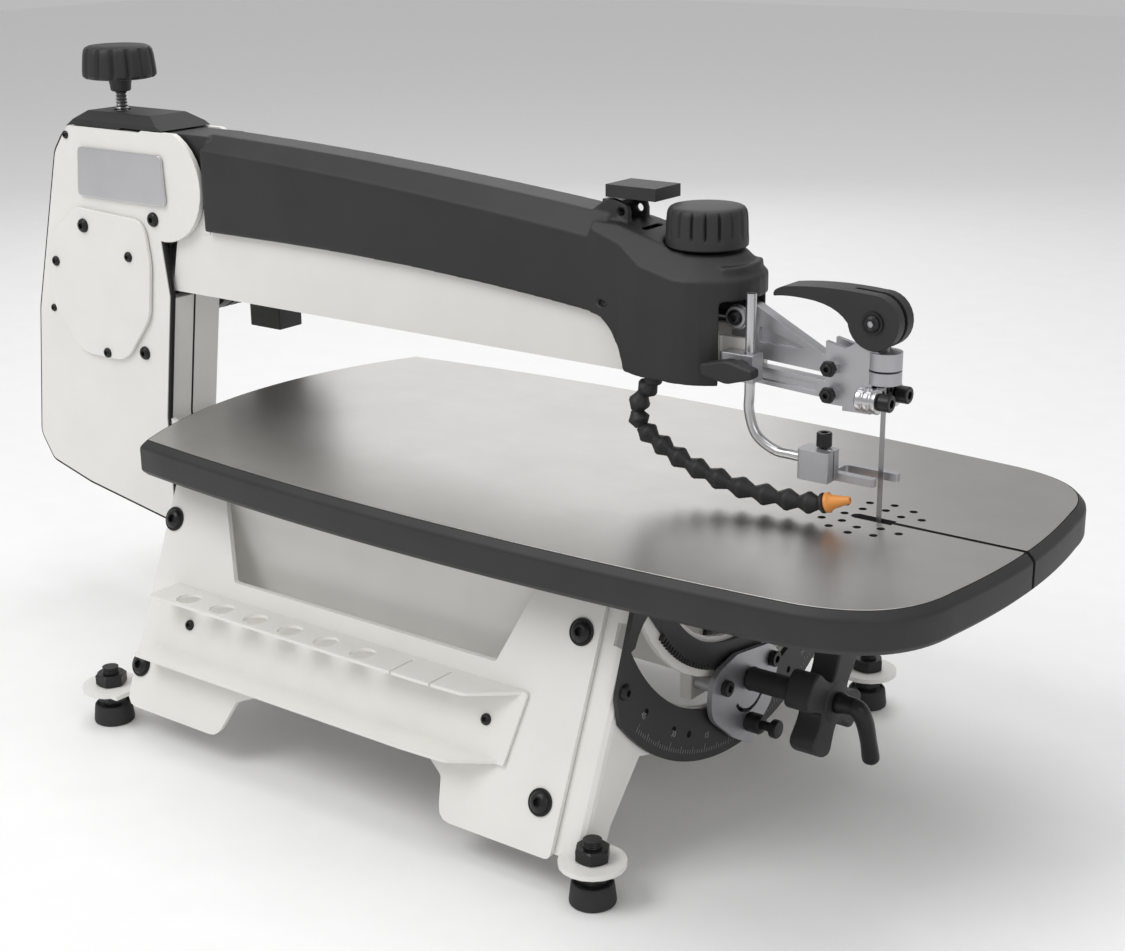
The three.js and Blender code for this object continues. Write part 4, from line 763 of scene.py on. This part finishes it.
def make_motor():
    x, z, radius = -582, 280, 46
    shell = [(0, 0.3), (36, 0.3), (36, 3), (radius, 3.2), (radius, 8)]
    for i in range(9):
        at = 14 + i * 8.6
        shell += [(radius, at), (radius - 1.6, at + 0.6), (radius - 1.6, at + 3.2), (radius, at + 3.8)]
    shell += [(radius, 100), (radius - 1, 103.6), (radius - 6, 104.2), (radius - 6, 107.5),
              (radius - 8, 109.7), (12, 109.7),
              (11, 108.6), (0, 108.6)]
    body = turned("motor_shell", shell, (x, 24, z), (0, 1, 0), 64)
    # The vent openings are not cut: near-black strips on the end cap paint the shade inside them
    vents = []
    for ring, count in ((18, 12), (28, 18)):
        for i in range(count):
            angle = TAU * i / count
            direction = Vector((math.cos(angle), 0, math.sin(angle)))
            start = Vector((x, 0, z)) + direction * (ring - 3.4)
            end = Vector((x, 0, z)) + direction * (ring + 3.4)
            vents.append(tube(f"vent_{ring}_{i}", [(start.x, 133.6, start.z), (end.x, 133.6, end.z)],
                              [1.3, 1.3], 2, 8))
    stand_for(rounded(body, 0.4, 28), "motor")
    dress(joined("motor_vent_shade", vents), "saw_frame", "black_moulding", "dark_gap")
    carried("motor_crank", 0.3)


# ---------------------------------------------------------------- tilt controls
def star_outline():
    """Four round lobes with hollow sides between them."""
    shape = [(0, 33.6), (9, 33.6), (18, 32.6), (23, 29.6), (25.5, 25), (30, 19.6), (37, 16.2), (45, 15)]
    points = []
    for quarter in range(4):
        turn = 90 * quarter + 60
        points += [(turn + a, r) for a, r in shape]
        points += [(turn + 90 - a, r) for a, r in reversed(shape[1:-1])]
    return [Vector((r * math.cos(math.radians(a)), r * math.sin(math.radians(a)), 0)) for a, r in points]


def make_tilt_controls():
    corners = star_outline()
    smooth = smooth_path(corners + corners[:1], 3)[:-1]
    star = plate("star_lobes", [[(p.x, p.y + PINION_Z) for p in smooth]], 17, 1.6, facing_x(-39.6))
    hub = turned("star_hub", [(0, -41), (11, -41), (13.6, -38), (14, -30), (13.4, -22.8), (11.5, -21.8),
                              (0, -21.8)],
                 (0, 0, PINION_Z), (1, 0, 0), 40)
    sleeve = turned("star_sleeve", [(0, -103.7), (4.8, -103.7), (4.8, -81), (7.2, -81), (7.6, -79.5),
                                    (7.2, -78), (7.2, -39),
                                    (0, -39)], (0, 0, PINION_Z), (1, 0, 0), 36)
    teeth = []
    for tooth in range(20):
        for turn, height in ((-0.34, -1.7), (-0.24, -0.2), (-0.1, 0.85), (0.1, 0.85), (0.24, -0.2),
                             (0.34, -1.7)):
            angle = math.pi / 2 + (tooth + turn) * TAU / 20
            radius = 11.18 + height
            teeth.append((radius * math.cos(angle), PINION_Z + radius * math.sin(angle)))
    gear = plate("pinion", [teeth], 4.3, 0.2, facing_x(-90.7))
    stand_for(rounded(joined("tilt_knob", [star, hub, sleeve]), 0), "tilt_knob_and_pinion")
    dress(gear, "tilt_knob", "blade_steel")
    stem = turned("lever_stem", [(0, -35), (4.2, -35), (4.2, -22), (6.2, -21.6), (6.6, -20.6), (6.4, -18),
                                 (5.7, -15),
                                 (5.6, -10), (0, -10)], (0, 0, PINION_Z), (1, 0, 0), 32)
    arm = tube("lever_arm", [(-22, 0, PINION_Z), (-13, 0, PINION_Z), (-7.5, 0.7, PINION_Z - 2),
                             (-4.6, 3, PINION_Z - 10),
                             (-4, 7.2, PINION_Z - 23), (-4, 10.6, PINION_Z - 34),
                             (-4, 11.4, PINION_Z - 37), (-4, 11.9, PINION_Z - 39.5)],
               [5.4, 5.5, 5.6, 5.4, 5.0, 5.3, 4.6, 1.6], 6, 24)
    stand_for(rounded(joined("lock_lever", [stem, arm]), 0), "tilt_lock_lever")
    carried("trunnion_bracket", 0.8, segments=3)
    for side in (-1, 1):
        word = "left" if side < 0 else "right"
        cap_screw(f"bracket_screw_{word}", (-82.2, 27 * side, 81), (1, 0, 0), 5, 4, "saw_frame")
    screw = [(0, -0.1), (2.8, -0.1), (2.8, 5.4), (5.8, 5.6), (6.2, 6.4), (6.2, 14), (5.4, 15.2),
             (2.9, 15.6), (2.9, 22), (5.4, 22.3),
             (5.8, 23), (5.8, 26), (5.2, 26.8), (0, 27)]
    stand_for(rounded(turned("pointer_thumb_screw", screw, (-87.1, 0, 49), (1, 0, 0), 40), 0),
              "pointer_screw")


# ---------------------------------------------------------------- arm and head
def make_arm():
    carried("arm_beam", 0.8)
    moulded("arm_cover", 1.1, 6)
    liner = block("crown_liner", (-178, -13, 362), (-143, 13, 369.4), 0.2)
    dress(liner, "upper_arm", "black_moulding")
    cheek = block("beam_cheek", (-534, -18.6, 305.5), (-510.8, -17.8, 323), 0.2)
    dress(cheek, "upper_arm", "white_paint")
    carried("power_toggle", 0.4)
    carried("rod_clamp", 0.8)
    rod = tube("hold_down_bar", [(-76, -16, 318), (-76, -16, 290), (-76, -16, 262), (-76, -16, 250),
                                 (-71, -16, 237),
                                 (-59, -16, 230), (-48, -16, 229.2), (-40, -16, 229)], [3] * 8, 8, 24)
    stand_for(rounded(rod, 0), "hold_down_rod")
    wing = softened([(-94, 273.5, 2), (-94.5, 280, 2), (-77, 284.2, 9), (-60.5, 280.5, 2),
                     (-60.5, 275.5, 2), (-77, 270.5, 9)])
    grip = plate("wing_grip", [wing], 9, 1.6, facing_y(-31.5))
    hub = turned("wing_hub", [(0, 0), (5.4, 0), (5.4, 8.4), (0, 8.4)], (-77, -23.4, 276), (0, -1, 0), 32)
    stand_for(rounded(joined("wing_knob", [grip, hub]), 0), "hold_down_wing_knob")
    carried("hold_down_foot", 0.7)
    head = cap_screw("foot_clamp_head", (-30, -11, 236), (0, 0, 1), 4.4, 8, "work_foot_clamp")
    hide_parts("foot_clamp_screw")


# ---------------------------------------------------------------- blade drive
def make_drive():
    carried("upper_bell_crank", 0.6)
    carried("upper_link", 0.6)
    carried("upper_blade_holder", 0.5)
    for node in ("rear_rocker", "upper_push_rod", "lower_push_rod", "lower_bell_crank", "lower_link",
                 "lower_blade_holder",
                 "lower_chuck_screw"):
        carried(node, 0.3)
    carried("saw_blade", 0.08)
    carried("tension_lever", 1.5, 28, 3)
    barrel = [(2.9, 3), (6.6, 3), (7.1, 2.6), (7.1, 0.4), (6.5, -0.2), (6.5, -1.4), (7.1, -2), (7.1, -4.2),
              (6.5, -4.8),
              (6.5, -5.8), (7.1, -6.4), (7.1, -8.8), (6.4, -9.6), (0, -9.6)]
    parts = [turned("chuck_barrel", barrel, (0, y, 266.5), (1, 0, 0), 40) for y in (-10.6, 10.6)]
    parts.append(block("chuck_bridge", (-0.6, -8, 261), (3, -0.6, 273.6), 0.5))
    parts.append(block("chuck_bridge", (-0.6, 0.6, 261), (3, 8, 273.6), 0.5))
    parts.append(block("chuck_bridge", (-0.6, -3, 268.8), (3, 3, 273.6), 0.5))
    stand_for(rounded(joined("blade_chuck", parts), 0), "upper_chuck")
    for word, y in (("left", -10.6), ("right", 10.6)):
        head = cap_screw(f"chuck_cap_{word}", (3.3, y, 266.5), (1, 0, 0), 4.9, 7, "clamp_screw_" + word)
        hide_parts("chuck_screw_" + word)
    for i, (x, z) in enumerate([(-28, 281), (-28, 266)]):
        hex_nut(f"holder_bolt_{i}", (x, -11.05, z), (0, -1, 0), 4.8, 3.6, "holder_top")
        cap_screw(f"holder_bolt_face_{i}", (x, -11.05, z), (0, -1, 0), 3.2, 4.6, "holder_top")
    washer("cam_washer", (-4, -9.2, 309), (0, -1, 0), 6.4, 2.5, 1.1, "cam_lever", "black_oxide")
    button_screw("cam_nut", (-4, -10.2, 309), (0, -1, 0), 5, "holder_top")
    button_screw("push_bolt_face", (-88, -13.4, 302), (0, -1, 0), 4.6, "bell_crank_top")
    washer("push_bolt_washer", (-88, -10.2, 302), (0, -1, 0), 7.4, 3.2, 0.9, "bell_crank_top")


# ---------------------------------------------------------------- air hose
ROUTE = [(-136, -24.5, 260), (-143, -25, 252), (-147.5, -25, 241), (-144, -25, 231.5),
         (-134.4, -25, 225.4), (-123.6, -25, 220),
         (-111.5, -25, 214.8), (-98.3, -24, 210.7), (-83.4, -24, 207.4), (-68, -23, 205.3),
         (-53.4, -22, 204.4),
         (-39.5, -21, 204.2), (-27, -20, 205.2)]


def hose_segment(name, a, b):
    """One ball-and-socket link: a flared cup that narrows to the neck of the next."""
    start, end = Vector(a), Vector(b)
    length = (end - start).length
    shape = [(0, -0.02), (3.5, -0.02), (3.9, 0.1), (5.6, 0.36), (6.35, 0.46), (6.4, 0.56), (5.7, 0.66),
             (4.2, 0.9), (3.6, 1),
             (0, 1.04)]
    return turned(name, [(radius, along * length) for radius, along in shape], a, end - start, 32)


def make_hose():
    upper = [hose_segment("hose_link", ROUTE[i], ROUTE[i + 1]) for i in range(0, 6)]
    upper.append(turned("hose_socket", [(0, 0), (4.4, 0), (5.2, 1), (5.2, 5.2), (4.4, 5.6), (4.4, 10.5),
                                        (0, 10.5)],
                        (-136, -24.5, 258.5), (0, 0, 1), 32))
    stand_for(rounded(joined("air_hose_rear_links", upper), 0), "air_hose_upper")
    lower = [hose_segment("hose_link", ROUTE[i], ROUTE[i + 1]) for i in range(6, 12)]
    stand_for(rounded(joined("air_hose_front_links", lower), 0), "air_hose_lower")
    aim = Vector((0.955, 0.16, 0.25))
    tip = [(0, 4), (4.9, 4), (5.7, 4.5), (5.9, 6.4), (4.9, 7.2), (4.2, 8.2), (3.0, 13.5), (2.2, 18),
           (1.9, 18.6), (1.1, 18.6),
           (1.1, 13), (0, 13)]
    stand_for(rounded(turned("air_nozzle_tip", tip, ROUTE[12], aim, 40), 0), "air_nozzle")
    cup = [(0, -0.4), (3.6, -0.4), (4.4, 0.6), (5.8, 2), (5.9, 3.2), (4.6, 4.2), (0, 4.2)]
    dress(rounded(turned("air_nozzle_cup", cup, ROUTE[12], aim, 32), 0), "nozzle", "black_moulding")


# ---------------------------------------------------------------- stage
def make_stage():
    size = FLOOR_HALF
    floor = new_object("floor", [(-size, -size, 0), (size, -size, 0), (size, size, 0), (-size, size, 0)],
                       [(0, 1, 2, 3)])
    floor.data.materials.append(surface("floor_pale", (0.93, 0.93, 0.93), (0.55, 0.7), 0.0, 0.01, 60, 0.02,
                                        0.0005))
    world = bpy.data.worlds.new("studio")
    bpy.context.scene.world = world
    world.use_nodes = True
    world.node_tree.nodes["Background"].inputs["Color"].default_value = (1, 1, 1, 1)
    world.node_tree.nodes["Background"].inputs["Strength"].default_value = WORLD_STRENGTH
    bpy.context.scene.view_settings.view_transform = "Standard"
    lamps = [("key", (-0.7, -1.5, 2.1), 1.3, 24), ("fill", (1.9, -0.9, 1.3), 1.2, 6),
             ("top", (0.1, 0.4, 2.4), 1.8, 20),
             ("back", (-1.12, 1.48, 0.95), 1.0, 3.2)]
    for name, place, width, power in lamps:
        data = bpy.data.lights.new(name, "AREA")
        data.size = width
        data.energy = power
        lamp = bpy.data.objects.new(name, data)
        bpy.context.scene.collection.objects.link(lamp)
        lamp.location = place
        aim = Vector((0, 0, 0.2)) - lamp.location
        lamp.rotation_euler = aim.to_track_quat("-Z", "Y").to_euler()


def make_camera():
    azimuth, elevation, roll = (math.radians(a) for a in CAMERA_ANGLES)
    back = Vector((math.sin(azimuth) * math.cos(elevation), -math.cos(azimuth) * math.cos(elevation),
                   math.sin(elevation)))
    right = Vector((math.cos(azimuth), math.sin(azimuth), 0))
    up = back.cross(right)
    right, up = right * math.cos(roll) + up * math.sin(roll), up * math.cos(roll) - right * math.sin(roll)
    data = bpy.data.cameras.new("camera")
    data.sensor_width = 36
    data.lens = CAMERA_LENS
    camera = bpy.data.objects.new("camera", data)
    bpy.context.scene.collection.objects.link(camera)
    turn = Matrix((right, up, back)).transposed().to_4x4()
    camera.matrix_world = Matrix.Translation(mm(*CAMERA_PLACE)) @ turn
    bpy.context.scene.camera = camera


make_camera()
make_table()
make_rim()
make_stand()
make_feet()
make_trunnion()
make_column()
make_knobs()
make_motor()
make_tilt_controls()
make_arm()
make_drive()
make_hose()
make_stage()

bpy.context.view_layer.update()
